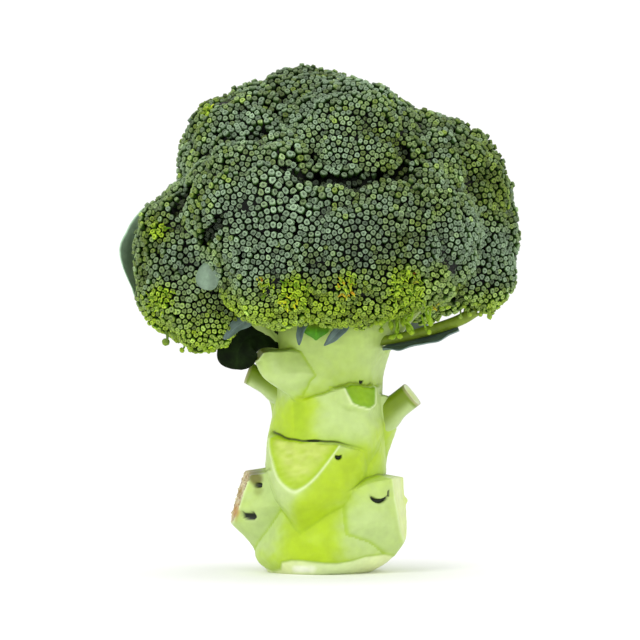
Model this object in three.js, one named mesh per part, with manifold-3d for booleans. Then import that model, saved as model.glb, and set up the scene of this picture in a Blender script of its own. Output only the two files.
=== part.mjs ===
// A head of broccoli that stands on the cut end of its stalk.
// Units are millimetres, +Z is up, -Y is the front and +X is to the right seen from the front.
// The origin lies on the flat cut across the bottom of the stalk, on the stalk's axis.

import * as THREE from 'three';
import Module from 'manifold-3d';
import { mergeVertices } from 'three/addons/utils/BufferGeometryUtils.js';
import { ConvexHull } from 'three/addons/math/ConvexHull.js';

const wasm = await Module();
wasm.setup();

// Driving dimensions of the crown.
const FORK = new THREE.Vector3(0, 0, 82); // where the stalk divides into branches
const BLEND = 2.6; // how softly neighbouring florets run into each other
const SEAM_GAP = 0.5; // the air between two florets that press together
const BUD_PITCH = 6.6; // larger than life, so that the whole crown stays covered
const BUD_RISE = 2.3;
const HIDDEN_PITCH = 15; // pressed faces need few corners
const PACKING = 0.87; // the area each spot takes when spots lie in a hexagonal pattern, in pitches squared
const NECK_REACH = 1.2; // how far below its middle a floret narrows to its branch, in floret radii
const NECK_RADIUS = 0.2; // half the width of that neck, in floret radii
const NECK_FLARE = THREE.MathUtils.degToRad(52); // how wide the cone of flower stalks opens
const JOINT_GAP = 0.4; // between a floret and the branch that carries it

// Each floret is a rounded mass about a middle [x, y, z] with a radius. Side florets fork off
// from a point of their own, given as fork, where the main fork lies too far round for them.
const FLORETS = [
  { name: 'floret_top', middle: [-6.5, -3, 150.8], radius: 29 },
  { name: 'floret_upper_front', middle: [9.5, -27, 150.5], radius: 21.5 },
  { name: 'floret_upper_left', middle: [-27, -12, 147], radius: 24.4 },
  { name: 'floret_upper_right', middle: [26, -14, 140], radius: 24.6 },
  { name: 'floret_upper_back_right', middle: [14, 21, 143], radius: 28.5 },
  { name: 'floret_upper_back_left', middle: [-17, 20, 142.5], radius: 28.5 },
  { name: 'floret_front', middle: [8, -36, 114.5], radius: 27 },
  { name: 'floret_front_left', middle: [-23, -32, 129], radius: 25 },
  { name: 'floret_front_low', middle: [-18, -35, 106], radius: 18.5 },
  { name: 'floret_front_right', middle: [27, -31, 118], radius: 25.2 },
  { name: 'floret_right_high', middle: [40.5, -5, 137], radius: 23.5 },
  { name: 'floret_right', middle: [45.5, -3, 119.5], radius: 22.5 },
  { name: 'floret_right_low', middle: [55, -14, 104], radius: 10.5, fork: [24, -6, 98] },
  { name: 'floret_right_back', middle: [33, 24, 118], radius: 27 },
  { name: 'floret_back', middle: [6, 37, 116.5], radius: 28.5 },
  { name: 'floret_back_left', middle: [-26, 32, 118], radius: 28 },
  { name: 'floret_left_back', middle: [-40, 10, 121.5], radius: 23.5 },
  { name: 'floret_left', middle: [-47.3, -18, 117], radius: 19.3 },
  { name: 'floret_left_low', middle: [-50.5, -17, 100.5], radius: 15.5, fork: [-22, -8, 100] },
  { name: 'floret_left_lowest', middle: [-43, -21, 91.4], radius: 12, fork: [-26, -10, 100] },
];

// Driving dimensions of the stalk. Each row of the profile is a height, a radius and how far the
// middle stands to the right.
const STALK_PROFILE = [
  [0, 18.5, -2.5],
  [1.6, 21, -1.5],
  [4.5, 24.2, -0.4],
  [9, 25, 0],
  [16, 23.6, 0.2],
  [28, 22.6, 0.3],
  [42, 21.6, 0.5],
  [50, 21.2, 0.8],
  [60, 19.6, 0.9],
  [70, 19.5, 0.7],
  [78, 20.8, 1.5],
  [86, 22.4, 3],
  [94, 20, 4],
];
const STALK_SIDES = 56;
const STALK_RING_STEP = 2.8;
const BRANCH_SIDES = 7;
const BRANCH_WIDTH = { foot: 0.3, neck: 0.2 }; // half widths, in floret radii
const BRANCH_SPREAD = 0.25; // how far out a branch starts, as a share of how far out it ends
const BRANCH_ROOT = 14; // how deep under the fork it starts
const BRANCH_BEND = { out: 12, share: 0.4, up: 6, under: 12 }; // past its fork and under its neck
const RIBS = { five: 0.018, three: 0.012, twist: 0.05 }; // faint long swellings, as shares of the radius
const SCALE_POINT = 1.7; // 1 tapers a scale all the way down, and more only near its foot
const LEDGE = 1.8; // over this height a leaf scale's upper edge drops back to the stalk

// The scales that the leaf stalks' feet form. Each has the way it faces (degrees from the front,
// right is positive), how far its foot is skewed to the right, the height of its upper edge, how
// far that edge sinks towards the right and how far it arches down at both ends, its width, how
// far down it runs, over what height it swells, how far it would stand out, and the cut that
// crops it: what it leaves at the upper edge, how steeply it looks up and how far it is turned
// sideways. A keel near 1 gives it a ridge down its middle, and 2 rounds it.
const SCALES = [
  {
    face: -82, skew: 0, edge: 34.8, sink: 0, arch: 0, width: 31, foot: 29,
    swell: 14, stand: 11, left: 4.6, look: 19, turn: 12, keel: 2,
  },
  {
    face: 66, skew: 0, edge: 34.2, sink: -1.2, arch: 5.5, width: 42, foot: 32,
    swell: 16, stand: 7.5, left: 4, look: 8, turn: 12, keel: 2,
  },
  {
    face: -24, skew: 7, edge: 46, sink: 3, arch: 0, width: 41, foot: 32,
    swell: 13, stand: 8.8, left: 0.9, look: 28.5, turn: 3, keel: 1.5,
  },
  {
    face: 22, skew: 0, edge: 64.8, sink: -3, arch: 1.2, width: 42, foot: 34,
    swell: 22, stand: 2.8, left: 2.6, look: 7, turn: 4, keel: 2,
  },
  {
    face: 30, skew: 0, edge: 65.9, sink: -0.4, arch: 0, width: 18.5, foot: 14,
    swell: 9, stand: 6, left: 2.8, look: 19, turn: 4, keel: 2.6,
  },
  {
    face: 88, skew: 0, edge: 62, sink: 0, arch: 0, width: 20, foot: 24,
    swell: 20, stand: 5, left: 5, look: 0, turn: 0, keel: 2,
  },
  {
    face: -50, skew: 17, edge: 78.3, sink: 1.5, arch: 0, width: 29, foot: 19,
    swell: 10, stand: 9.5, left: 5, look: 36, turn: -24, keel: 1.8,
  },
  {
    face: -100, skew: 0, edge: 71, sink: 0, arch: 0, width: 16, foot: 18,
    swell: 15, stand: 4, left: 4, look: 0, turn: 0, keel: 2,
  },
  {
    face: 148, skew: 0, edge: 54, sink: 3, arch: 0, width: 34, foot: 34,
    swell: 24, stand: 8, left: 1.4, look: 13, turn: 0, keel: 1.4,
  },
  {
    face: -158, skew: 0, edge: 33, sink: -3, arch: 0, width: 36, foot: 30,
    swell: 18, stand: 8, left: 2, look: 12, turn: 0, keel: 2,
  },
  {
    face: -150, skew: 0, edge: 67, sink: 0, arch: 0, width: 22, foot: 26,
    swell: 20, stand: 5, left: 5, look: 0, turn: 0, keel: 2,
  },
];

// The stubs of leaf stalks that stand out past their scales. Each has the way it faces, the
// height at which it leaves the stalk, its width and thickness, how far it reaches, how steeply
// it rises, and how far its flat cut is turned sideways and tipped up.
const STUBS = [
  { face: 84, height: 60, width: 13, thick: 9, reach: 8.8, rise: 30, turn: 0, tip: 22 },
  { face: -90, height: 68.8, width: 13, thick: 7.4, reach: 8.3, rise: 36, turn: 0, tip: 16 },
  { face: -150, height: 63, width: 15, thick: 8, reach: 9, rise: 32, turn: 6, tip: -8 },
];
const STUB_ROOT = 9; // how deep a stub starts inside the stalk's skin
const STUB_SPARE = 5; // what its flat cut takes off again
const STUB_SQUARENESS = 0.7; // 1 is a round bar
const STUB_TAPER = 0.16; // how much of its width it loses on the way out

// Driving dimensions of the leaves.
const BLADE_THICKNESS = 0.9;
const BLADE_STEPS = 10;
const BLADE_LANES = 4;
const WAVE_TURNS = 2.5; // ruffles along a blade's edge
const LEAF_GAP = 0.6; // between a leaf and the florets it lies against

// A leaf is one or more blades, and a rod where its own stalk shows. Each blade follows its spine
// with a half width at each of the spine's points. Its upper face looks along faces, cup lifts
// its edges and wave ruffles them.
const LEAVES = [
  {
    name: 'leaf_left',
    blades: [{
      spine: [
        [-14, 11, 84], [-34, 15, 84.5], [-56, 12, 92], [-68, 7, 104], [-70, 3, 114], [-64.5, 4, 126],
        [-57, 6, 135],
      ],
      halfWidths: [4, 6, 9, 10.5, 10, 8.5, 4], faces: [0.93, -0.36, 0.3], cup: 0, wave: 0.9,
    }],
  },
  {
    name: 'leaf_front_left',
    blades: [{
      spine: [[-34, -33, 115], [-38, -37.5, 110.5], [-41.5, -39.5, 105], [-43.5, -38.5, 100]],
      halfWidths: [2, 4, 4.6, 2.4], faces: [-0.25, -0.9, 0.2], cup: -0.15, wave: 0,
    }],
  },
  {
    name: 'leaf_dark_left',
    blades: [{
      spine: [[-15, -9, 82], [-22, -12, 84.6], [-28.5, -13, 83], [-31.8, -13.5, 79], [-32.4, -13, 73.8]],
      halfWidths: [3, 5, 6.2, 5.4, 4.6], faces: [0.1, -1, 0.25], cup: 0.12, wave: 0.5,
    }],
  },
  {
    name: 'leaf_left_low',
    blades: [{
      spine: [[-14, -13, 91], [-20, -19, 91.5], [-26.5, -23.5, 89.8], [-31.5, -27, 87], [-35.5, -30, 82.6]],
      halfWidths: [2, 2.6, 3, 2.6, 1.4], faces: [0.1, -0.9, -0.5], cup: -0.2, wave: 0.4,
    }],
  },
  {
    name: 'leaf_front',
    blades: [
      {
        spine: [[-3, -17.5, 91], [-3.4, -24, 88.5], [-3.6, -25.5, 85.5], [-3.6, -25.5, 82.2]],
        halfWidths: [6, 6.5, 4.4, 1], faces: [0, -1, 0.1], cup: -0.1, wave: 0,
      },
      {
        spine: [[-6, -20.5, 91], [-8, -24.5, 88], [-9.2, -26, 84.5], [-9.5, -26, 80.5]],
        halfWidths: [2.2, 1.7, 1.3, 0.7], faces: [-0.3, -1, 0], cup: 0.1, wave: 0,
      },
      {
        spine: [[2, -20.5, 92], [6, -24.5, 88], [3, -26.8, 84], [-0.8, -26.8, 80.3]],
        halfWidths: [2.4, 2.2, 1.8, 0.7], faces: [0.2, -1, 0], cup: 0.1, wave: 0,
      },
    ],
  },
  {
    name: 'leaf_right',
    rod: {
      path: [[14, -11, 81.5], [26, -12, 83.5], [38, -13, 86.5], [48, -13.5, 90], [53, -13.5, 93.2]],
      radius: 1.9,
    },
    blades: [{
      spine: [[20, -13, 79.6], [26, -13.4, 80.4], [34, -14, 82], [42, -14, 84.6], [47, -14, 86.4]],
      halfWidths: [2.5, 5, 6, 5.5, 4], faces: [-0.2, -0.3, 1], cup: 0.1, wave: 0.5,
    }],
  },
  {
    name: 'leaf_back_right',
    blades: [{
      spine: [[7, 13, 80], [20, 34, 82.5], [29, 50, 88], [34, 60, 97], [36, 65, 108]],
      halfWidths: [4, 8, 11, 10, 5], faces: [-0.4, -0.7, 1], cup: 0.12, wave: 0.9,
    }],
  },
  {
    name: 'leaf_back_left',
    blades: [{
      spine: [[-8, 13, 80], [-19, 34, 82], [-27, 49, 86.5], [-32, 60, 94], [-34, 66, 104]],
      halfWidths: [4, 7, 10, 9.5, 4.5], faces: [0.4, -0.7, 1], cup: 0.12, wave: 0.9,
    }],
  },
];

const SLIVER = 0.05; // joining leaves edges shorter than this, which are merged away

const STALK_GREEN = { color: 0xbfd873, roughness: 0.5, metalness: 0 };
const BUD_GREEN = { color: 0x4a6338, roughness: 0.7, metalness: 0 };
const LEAF_GREEN = { color: 0x5f7d6a, roughness: 0.55, metalness: 0 };

const vec = (p) => new THREE.Vector3(p[0], p[1], p[2]);
const outward = (degrees) => {
  const a = THREE.MathUtils.degToRad(degrees);
  return new THREE.Vector3(Math.sin(a), -Math.cos(a), 0);
};
const smooth = (t) => {
  const c = THREE.MathUtils.clamp(t, 0, 1);
  return c * c * (3 - 2 * c);
};

// A closed geometry as a solid for joining and cutting.
function solidOf(geometry) {
  const bare = new THREE.BufferGeometry();
  bare.setAttribute('position', geometry.getAttribute('position'));
  bare.setIndex(geometry.index);
  const merged = mergeVertices(bare, 1e-4);
  return new wasm.Manifold(new wasm.Mesh({
    numProp: 3,
    vertProperties: merged.attributes.position.array,
    triVerts: new Uint32Array(merged.index.array),
  }));
}

// The outer skin of a solid's largest body: hollows that joining sealed are filled, and loose
// scraps are dropped.
function largestBody(solid) {
  const bodies = solid.simplify(SLIVER).decompose();
  return bodies.reduce((most, body) => (body.volume() > most.volume() ? body : most));
}

function meshOf(solid, name, look) {
  const cut = solid.getMesh();
  const geometry = new THREE.BufferGeometry();
  geometry.setAttribute('position', new THREE.BufferAttribute(cut.vertProperties, cut.numProp));
  geometry.setIndex(new THREE.BufferAttribute(cut.triVerts, 1));
  geometry.computeVertexNormals();
  const mesh = new THREE.Mesh(geometry, new THREE.MeshStandardMaterial(look));
  mesh.name = name;
  return mesh;
}

function geometryFrom(points, triangles) {
  const geometry = new THREE.BufferGeometry();
  const flat = new Float32Array(points.flatMap((p) => [p.x, p.y, p.z]));
  geometry.setAttribute('position', new THREE.BufferAttribute(flat, 3));
  geometry.setIndex(triangles.flat());
  return geometry;
}

// A skin over rings of equally many points, closed by a fan at each end.
function loft(rings) {
  const sides = rings[0].length;
  const points = rings.flat();
  const triangles = [];
  for (let k = 0; k + 1 < rings.length; k++) {
    for (let j = 0; j < sides; j++) {
      const a = k * sides + j;
      const b = k * sides + ((j + 1) % sides);
      triangles.push([a, b, b + sides], [a, b + sides, a + sides]);
    }
  }
  const last = (rings.length - 1) * sides;
  const foot = points.length;
  const tip = foot + 1;
  const middle = (ring) => ring.reduce((s, p) => s.add(p), new THREE.Vector3()).divideScalar(sides);
  points.push(middle(rings[0]), middle(rings.at(-1)));
  for (let j = 0; j < sides; j++) {
    const next = (j + 1) % sides;
    triangles.push([foot, next, j], [tip, last + j, last + next]);
  }
  return geometryFrom(points, triangles);
}

// The sideways and outer directions at a point of a path that lies near a plane through the
// stalk's axis.
function frameAt(tangent, side) {
  const outer = new THREE.Vector3().crossVectors(side, tangent).normalize();
  return { side, outer };
}

// Florets

const florets = FLORETS.map((row) => {
  const middle = vec(row.middle);
  const fork = row.fork ? vec(row.fork) : FORK.clone();
  const axis = middle.clone().sub(fork).normalize();
  const neck = middle.clone().addScaledVector(axis, -NECK_REACH * row.radius);
  return { ...row, middle, fork, axis, neck };
});

// Signed height above the crown's surface: the florets' spheres with their seams filled softly.
function crownHeight(p) {
  let sum = 0;
  for (const f of florets) sum += Math.exp((f.radius - p.distanceTo(f.middle)) / BLEND);
  return -BLEND * Math.log(sum);
}

// The flat seams that part a floret from its neighbours, as planes with outward normals.
function seamsOf(floret) {
  const seams = [];
  for (const other of florets) {
    if (other === floret) continue;
    const normal = other.middle.clone().sub(floret.middle);
    const apart = normal.length();
    if (apart > floret.radius + other.radius + 2 * BLEND) continue;
    normal.normalize();
    const along = (apart ** 2 + floret.radius ** 2 - other.radius ** 2) / (2 * apart);
    const reach = normal.dot(floret.middle) + along - SEAM_GAP / 2;
    seams.push({ normal, reach });
  }
  return seams;
}

// How deep a point lies inside the floret's own share: its seams, its cone of flower stalks and
// the flat end of its neck. Negative is inside.
function shareDepth(floret, seams, p) {
  let depth = -Infinity;
  for (const s of seams) depth = Math.max(depth, s.normal.dot(p) - s.reach);
  const fromNeck = p.clone().sub(floret.neck);
  const rise = fromNeck.dot(floret.axis);
  const spread = Math.sqrt(Math.max(0, fromNeck.lengthSq() - rise * rise));
  const coneRadius = NECK_RADIUS * floret.radius + rise * Math.tan(NECK_FLARE);
  return Math.max(depth, -rise, spread - coneRadius);
}

// The distance from the floret's middle to the first place along a direction where a depth turns
// positive.
function firstCrossing(depthAt, limit) {
  const step = 0.6;
  let near = 0;
  while (near < limit && depthAt(near + step) < 0) near += step;
  if (near >= limit) return limit;
  let far = near + step;
  for (let i = 0; i < 18; i++) {
    const half = (near + far) / 2;
    if (depthAt(half) < 0) near = half;
    else far = half;
  }
  return near;
}

// Evenly spread directions, turned a little further for each floret.
function spiralDirections(count, turn) {
  const golden = Math.PI * (3 - Math.sqrt(5));
  return Array.from({ length: count }, (_, i) => {
    const z = 1 - (2 * i + 1) / count;
    const ring = Math.sqrt(1 - z * z);
    const a = i * golden + turn;
    return new THREE.Vector3(ring * Math.cos(a), ring * Math.sin(a), z);
  });
}

// Between an open and a hidden direction, the one at which the surface meets the seam.
function seamEdge(openSide, hiddenSide, measure) {
  const near = openSide.clone();
  const far = hiddenSide.clone();
  for (let i = 0; i < 10; i++) {
    const half = near.clone().add(far).normalize();
    if (measure(half).open) near.copy(half);
    else far.copy(half);
  }
  return far;
}

// One floret: buds stand up from the crown's surface, and the sides that press on a neighbour
// and the cone underneath are plain.
function floretGeometry(floret, turn) {
  const seams = seamsOf(floret);
  const at = (direction, r) => floret.middle.clone().addScaledVector(direction, r);
  const upright = new THREE.Quaternion().setFromUnitVectors(new THREE.Vector3(0, 0, 1), floret.axis);
  const measure = (direction) => {
    const limit = firstCrossing((r) => shareDepth(floret, seams, at(direction, r)), 2 * floret.radius);
    const surface = firstCrossing((r) => crownHeight(at(direction, r)), limit);
    return { limit, surface, open: surface < limit - 1e-3 };
  };
  const spots = [];
  const scatter = (pitch, wanted) => {
    const count = Math.round((4 * Math.PI * floret.radius ** 2) / (PACKING * pitch ** 2));
    for (const d of spiralDirections(count, turn)) {
      const direction = d.applyQuaternion(upright);
      const spot = measure(direction);
      if (spot.open === wanted) spots.push({ direction, ...spot });
    }
  };
  scatter(BUD_PITCH, true);
  scatter(HIDDEN_PITCH, false);

  // The hull over the spots' directions joins neighbours into triangles.
  const hullRings = () => {
    const corners = spots.map((s, i) => Object.assign(s.direction.clone(), { spot: i }));
    return new ConvexHull().setFromPoints(corners).faces
      .map((face) => [0, 1, 2].map((k) => face.getEdge(k).head().point.spot));
  };
  // Where a triangle's side runs from an open spot to a hidden one, the seam's edge gets a spot.
  const openings = new Map();
  for (const ring of hullRings()) {
    for (let k = 0; k < 3; k++) {
      const a = ring[k];
      const b = ring[(k + 1) % 3];
      if (spots[a].open && !spots[b].open && !openings.has(a)) openings.set(a, b);
    }
  }
  for (const [a, b] of openings) {
    const direction = seamEdge(spots[a].direction, spots[b].direction, measure);
    spots.push({ direction, ...measure(direction), open: false });
  }
  const reach = (s) => (s.open ? Math.min(s.surface + BUD_RISE, s.limit) : s.limit);
  const points = spots.map((s) => at(s.direction, reach(s)));
  const triangles = [];
  for (const ring of hullRings()) {
    if (!ring.every((i) => spots[i].open)) {
      triangles.push(ring);
      continue;
    }
    const hollow = new THREE.Vector3();
    for (const i of ring) hollow.add(spots[i].direction);
    hollow.normalize();
    const valley = points.length;
    points.push(at(hollow, measure(hollow).surface));
    for (let k = 0; k < 3; k++) triangles.push([ring[k], ring[(k + 1) % 3], valley]);
  }
  return geometryFrom(points, triangles);
}

// Stalk

const profileCurve = (column) => new THREE.CatmullRomCurve3(
  STALK_PROFILE.map((row) => new THREE.Vector3(row[0], row[column], 0)), false, 'centripetal');
const radiusCurve = profileCurve(1);
const offsetCurve = profileCurve(2);

// The profile's value at a height, by the curve through its rows.
function profileAt(curve, z) {
  let low = 0;
  let high = 1;
  for (let i = 0; i < 24; i++) {
    const half = (low + high) / 2;
    if (curve.getPoint(half).x < z) low = half;
    else high = half;
  }
  return curve.getPoint(low).y;
}

// How far the stalk stands out at an angle and height: its round body with faint ribs, and the
// leaf scales, each cropped by its flat cut.
function stalkRadius(degrees, z) {
  const a = THREE.MathUtils.degToRad(degrees);
  const ribs = RIBS.five * Math.cos(5 * a + RIBS.twist * z) + RIBS.three * Math.cos(3 * a - RIBS.twist * z);
  const body = profileAt(radiusCurve, z) * (1 + ribs);
  let radius = body;
  for (const s of SCALES) {
    const middle = s.face + (s.skew * (s.edge - z)) / s.foot;
    const from = THREE.MathUtils.euclideanModulo(degrees - middle + 180, 360) - 180;
    const fullHalf = THREE.MathUtils.radToDeg(s.width / 2 / body);
    const share = from / fullHalf;
    const below = s.edge - s.sink * share - s.arch * share * share - z;
    if (below > s.foot || below < -LEDGE) continue;
    const taper = Math.min(1, SCALE_POINT * (1 - below / s.foot));
    if (taper <= 0) continue;
    const q = from / (fullHalf * taper);
    if (Math.abs(q) >= 1) continue;
    const swollen = s.stand * smooth((s.foot - below) / s.swell) * (1 - Math.abs(q) ** s.keel);
    const look = THREE.MathUtils.degToRad(s.look);
    const turned = THREE.MathUtils.degToRad(from - s.turn);
    const across = profileAt(radiusCurve, s.edge) + s.left;
    const cut = (across + (s.edge - z) * Math.tan(look)) / Math.cos(turned) - body;
    const drop = below < 0 ? 1 + below / LEDGE : 1;
    radius = Math.max(radius, body + Math.min(swollen, Math.max(0, cut)) * drop);
  }
  return radius;
}

function stalkBody(grow) {
  const top = STALK_PROFILE.at(-1)[0];
  const bevel = STALK_PROFILE[1][0];
  const count = Math.round((top - bevel) / STALK_RING_STEP);
  const steps = Array.from({ length: count + 1 }, (_, i) => bevel + ((top - bevel) * i) / count);
  const heights = [0, ...steps];
  const rings = heights.map((z) => Array.from({ length: STALK_SIDES }, (_, j) => {
    const degrees = (360 * j) / STALK_SIDES;
    const p = outward(degrees).multiplyScalar(stalkRadius(degrees, z) + grow);
    return new THREE.Vector3(p.x + profileAt(offsetCurve, z), p.y, z);
  }));
  return solidOf(loft(rings));
}

// The stub of a cut leaf stalk: a straight rounded bar that starts inside the stalk and ends in a
// flat cut.
function leafStub(s, grow) {
  const out = outward(s.face);
  const side = new THREE.Vector3().crossVectors(out, new THREE.Vector3(0, 0, 1));
  const rise = THREE.MathUtils.degToRad(s.rise);
  const along = out.clone().multiplyScalar(Math.cos(rise)).setZ(Math.sin(rise));
  const outer = new THREE.Vector3().crossVectors(side, along);
  const halfWidth = s.width / 2 + grow;
  const halfThick = s.thick / 2 + grow;
  const foot = out.clone().multiplyScalar(stalkRadius(s.face, s.height)).setZ(s.height);
  foot.x += profileAt(offsetCurve, s.height);
  const steps = 3;
  const sides = 12;
  const rings = Array.from({ length: steps + 1 }, (_, k) => {
    const t = k / steps;
    const middle = foot.clone().addScaledVector(along, -STUB_ROOT + t * (STUB_ROOT + s.reach + STUB_SPARE));
    return Array.from({ length: sides }, (_, j) => {
      const a = (2 * Math.PI * j) / sides;
      const squared = (c) => Math.sign(c) * Math.abs(c) ** STUB_SQUARENESS;
      return middle.clone()
        .addScaledVector(side, -squared(Math.cos(a)) * halfWidth * (1 - STUB_TAPER * t))
        .addScaledVector(outer, squared(Math.sin(a)) * halfThick);
    });
  });
  const cut = along.clone();
  cut.applyAxisAngle(new THREE.Vector3(0, 0, 1), THREE.MathUtils.degToRad(s.turn));
  cut.applyAxisAngle(side, -THREE.MathUtils.degToRad(s.tip));
  const at = foot.clone().addScaledVector(along, s.reach + grow);
  return solidOf(loft(rings)).trimByPlane([-cut.x, -cut.y, -cut.z], -cut.dot(at));
}

// The branch from inside the stalk's top to a floret's neck.
function branch(floret, grow) {
  const end = floret.neck.clone().addScaledVector(floret.axis, grow);
  const sideways = new THREE.Vector3(end.x, end.y, 0);
  const start = sideways.clone().multiplyScalar(BRANCH_SPREAD).setZ(FORK.z - BRANCH_ROOT);
  const out = Math.min(BRANCH_BEND.out, BRANCH_BEND.share * sideways.length());
  const bend = floret.fork.clone().add(sideways.setLength(out));
  bend.z = Math.max(bend.z + BRANCH_BEND.up, end.z - BRANCH_BEND.under);
  const path = new THREE.QuadraticBezierCurve3(start, bend, end);
  const steps = 5;
  const rings = Array.from({ length: steps + 1 }, (_, k) => {
    const t = k / steps;
    const tangent = t === 1 ? floret.axis.clone() : path.getTangent(t);
    const side = new THREE.Vector3(-tangent.y, tangent.x, 0);
    if (side.length() < 1e-3) side.set(1, 0, 0);
    side.normalize();
    const { outer } = frameAt(tangent, side);
    const radius = floret.radius * THREE.MathUtils.lerp(BRANCH_WIDTH.foot, BRANCH_WIDTH.neck, t) + grow;
    const middle = path.getPoint(t);
    return Array.from({ length: BRANCH_SIDES }, (_, j) => {
      const a = (2 * Math.PI * j) / BRANCH_SIDES;
      return middle.clone()
        .addScaledVector(side, -Math.cos(a) * radius)
        .addScaledVector(outer, Math.sin(a) * radius);
    });
  });
  return solidOf(loft(rings));
}

// The stalk and its branches without the leaf stubs. Grown by a gap, it cuts the pieces that
// stand against it.
function stalkCore(grow) {
  return florets.reduce((core, f) => core.add(branch(f, grow)), stalkBody(grow));
}

const withStubs = (core, grow) => STUBS.reduce((whole, s) => whole.add(leafStub(s, grow)), core);

// Leaves

const between = (values, t) => {
  const at = t * (values.length - 1);
  const low = Math.min(Math.floor(at), values.length - 2);
  return THREE.MathUtils.lerp(values[low], values[low + 1], smooth(at - low));
};

// One blade: two faces split alike into triangles, and a wall around them.
function bladeSolid(blade) {
  const path = new THREE.CatmullRomCurve3(blade.spine.map(vec));
  const columns = BLADE_LANES + 1;
  const layer = (BLADE_STEPS + 1) * columns;
  const upper = [];
  const lower = [];
  for (let k = 0; k <= BLADE_STEPS; k++) {
    const t = k / BLADE_STEPS;
    const tangent = path.getTangent(t);
    const across = new THREE.Vector3().crossVectors(tangent, vec(blade.faces)).normalize();
    const { outer } = frameAt(tangent, across);
    const half = between(blade.halfWidths, t);
    for (let j = 0; j < columns; j++) {
      const v = (2 * j) / BLADE_LANES - 1;
      const ruffle = blade.wave * Math.sin(WAVE_TURNS * 2 * Math.PI * t + v);
      const p = path.getPoint(t).addScaledVector(across, v * half);
      p.addScaledVector(outer, (blade.cup * half + ruffle) * v * v);
      upper.push(p.clone().addScaledVector(outer, BLADE_THICKNESS / 2));
      lower.push(p.clone().addScaledVector(outer, -BLADE_THICKNESS / 2));
    }
  }
  const triangles = [];
  for (let k = 0; k < BLADE_STEPS; k++) {
    for (let j = 0; j < BLADE_LANES; j++) {
      const a = k * columns + j;
      const b = a + columns;
      triangles.push([a, a + 1, b + 1], [a, b + 1, b]);
      triangles.push([a + layer, b + 1 + layer, a + 1 + layer], [a + layer, b + layer, b + 1 + layer]);
    }
  }
  const rim = [];
  for (let j = 0; j < BLADE_LANES; j++) rim.push(j);
  for (let k = 0; k < BLADE_STEPS; k++) rim.push(k * columns + BLADE_LANES);
  for (let j = BLADE_LANES; j > 0; j--) rim.push(BLADE_STEPS * columns + j);
  for (let k = BLADE_STEPS; k > 0; k--) rim.push(k * columns);
  rim.forEach((a, i) => {
    const b = rim[(i + 1) % rim.length];
    triangles.push([b, a, a + layer], [b, a + layer, b + layer]);
  });
  return solidOf(geometryFrom(upper.concat(lower), triangles));
}

function rodSolid(rod) {
  const path = new THREE.CatmullRomCurve3(rod.path.map(vec));
  const steps = 7;
  const sides = 8;
  return solidOf(loft(Array.from({ length: steps + 1 }, (_, k) => {
    const tangent = path.getTangent(k / steps);
    const side = new THREE.Vector3(-tangent.y, tangent.x, 0).normalize();
    const { outer } = frameAt(tangent, side);
    return Array.from({ length: sides }, (_, j) => {
      const a = (2 * Math.PI * j) / sides;
      return path.getPoint(k / steps)
        .addScaledVector(side, -Math.cos(a) * rod.radius)
        .addScaledVector(outer, Math.sin(a) * rod.radius);
    });
  })));
}

function leafSolid(leaf) {
  const pieces = leaf.blades.map(bladeSolid);
  if (leaf.rod) pieces.push(rodSolid(leaf.rod));
  return pieces.reduce((whole, piece) => whole.add(piece));
}

// Assembly

const broccoli = new THREE.Group();
const crown = new THREE.Group();
broccoli.add(crown);

const socket = stalkCore(JOINT_GAP);
const around = [withStubs(socket, LEAF_GAP)]; // what the leaves keep clear of
florets.forEach((floret, i) => {
  const solid = largestBody(solidOf(floretGeometry(floret, i)).subtract(socket));
  crown.add(meshOf(solid, floret.name, BUD_GREEN));
  const grown = new THREE.Matrix4().makeTranslation(floret.middle);
  grown.scale(new THREE.Vector3().setScalar(1 + LEAF_GAP / floret.radius));
  grown.multiply(new THREE.Matrix4().makeTranslation(floret.middle.clone().negate()));
  around.push(solid.transform(grown.elements));
});
broccoli.add(meshOf(largestBody(withStubs(stalkCore(0), 0)), 'stalk', STALK_GREEN));
for (const leaf of LEAVES) {
  const free = around.reduce((solid, other) => solid.subtract(other), leafSolid(leaf));
  broccoli.add(meshOf(largestBody(free), leaf.name, LEAF_GREEN));
}

export default broccoli;
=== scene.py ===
# A head of broccoli that stands on the cut end of its stalk, on a pale floor.
# Lengths are in millimetres until a mesh is made. +Z is up, -Y is the front, +X is to the right.

import math

import bpy
import bmesh
import numpy as np
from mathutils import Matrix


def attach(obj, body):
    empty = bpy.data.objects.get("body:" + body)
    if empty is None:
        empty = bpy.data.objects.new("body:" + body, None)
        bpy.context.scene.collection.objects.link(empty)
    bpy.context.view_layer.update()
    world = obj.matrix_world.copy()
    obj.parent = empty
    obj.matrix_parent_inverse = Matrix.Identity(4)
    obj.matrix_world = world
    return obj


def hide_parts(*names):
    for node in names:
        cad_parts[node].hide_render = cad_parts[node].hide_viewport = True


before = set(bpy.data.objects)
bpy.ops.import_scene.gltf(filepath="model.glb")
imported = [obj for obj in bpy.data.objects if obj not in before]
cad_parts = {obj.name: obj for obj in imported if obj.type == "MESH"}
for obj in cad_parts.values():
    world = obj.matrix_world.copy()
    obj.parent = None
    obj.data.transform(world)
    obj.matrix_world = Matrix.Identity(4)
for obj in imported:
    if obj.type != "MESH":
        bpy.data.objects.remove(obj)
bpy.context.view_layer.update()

METRE = 0.001  # a millimetre in metres

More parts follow.
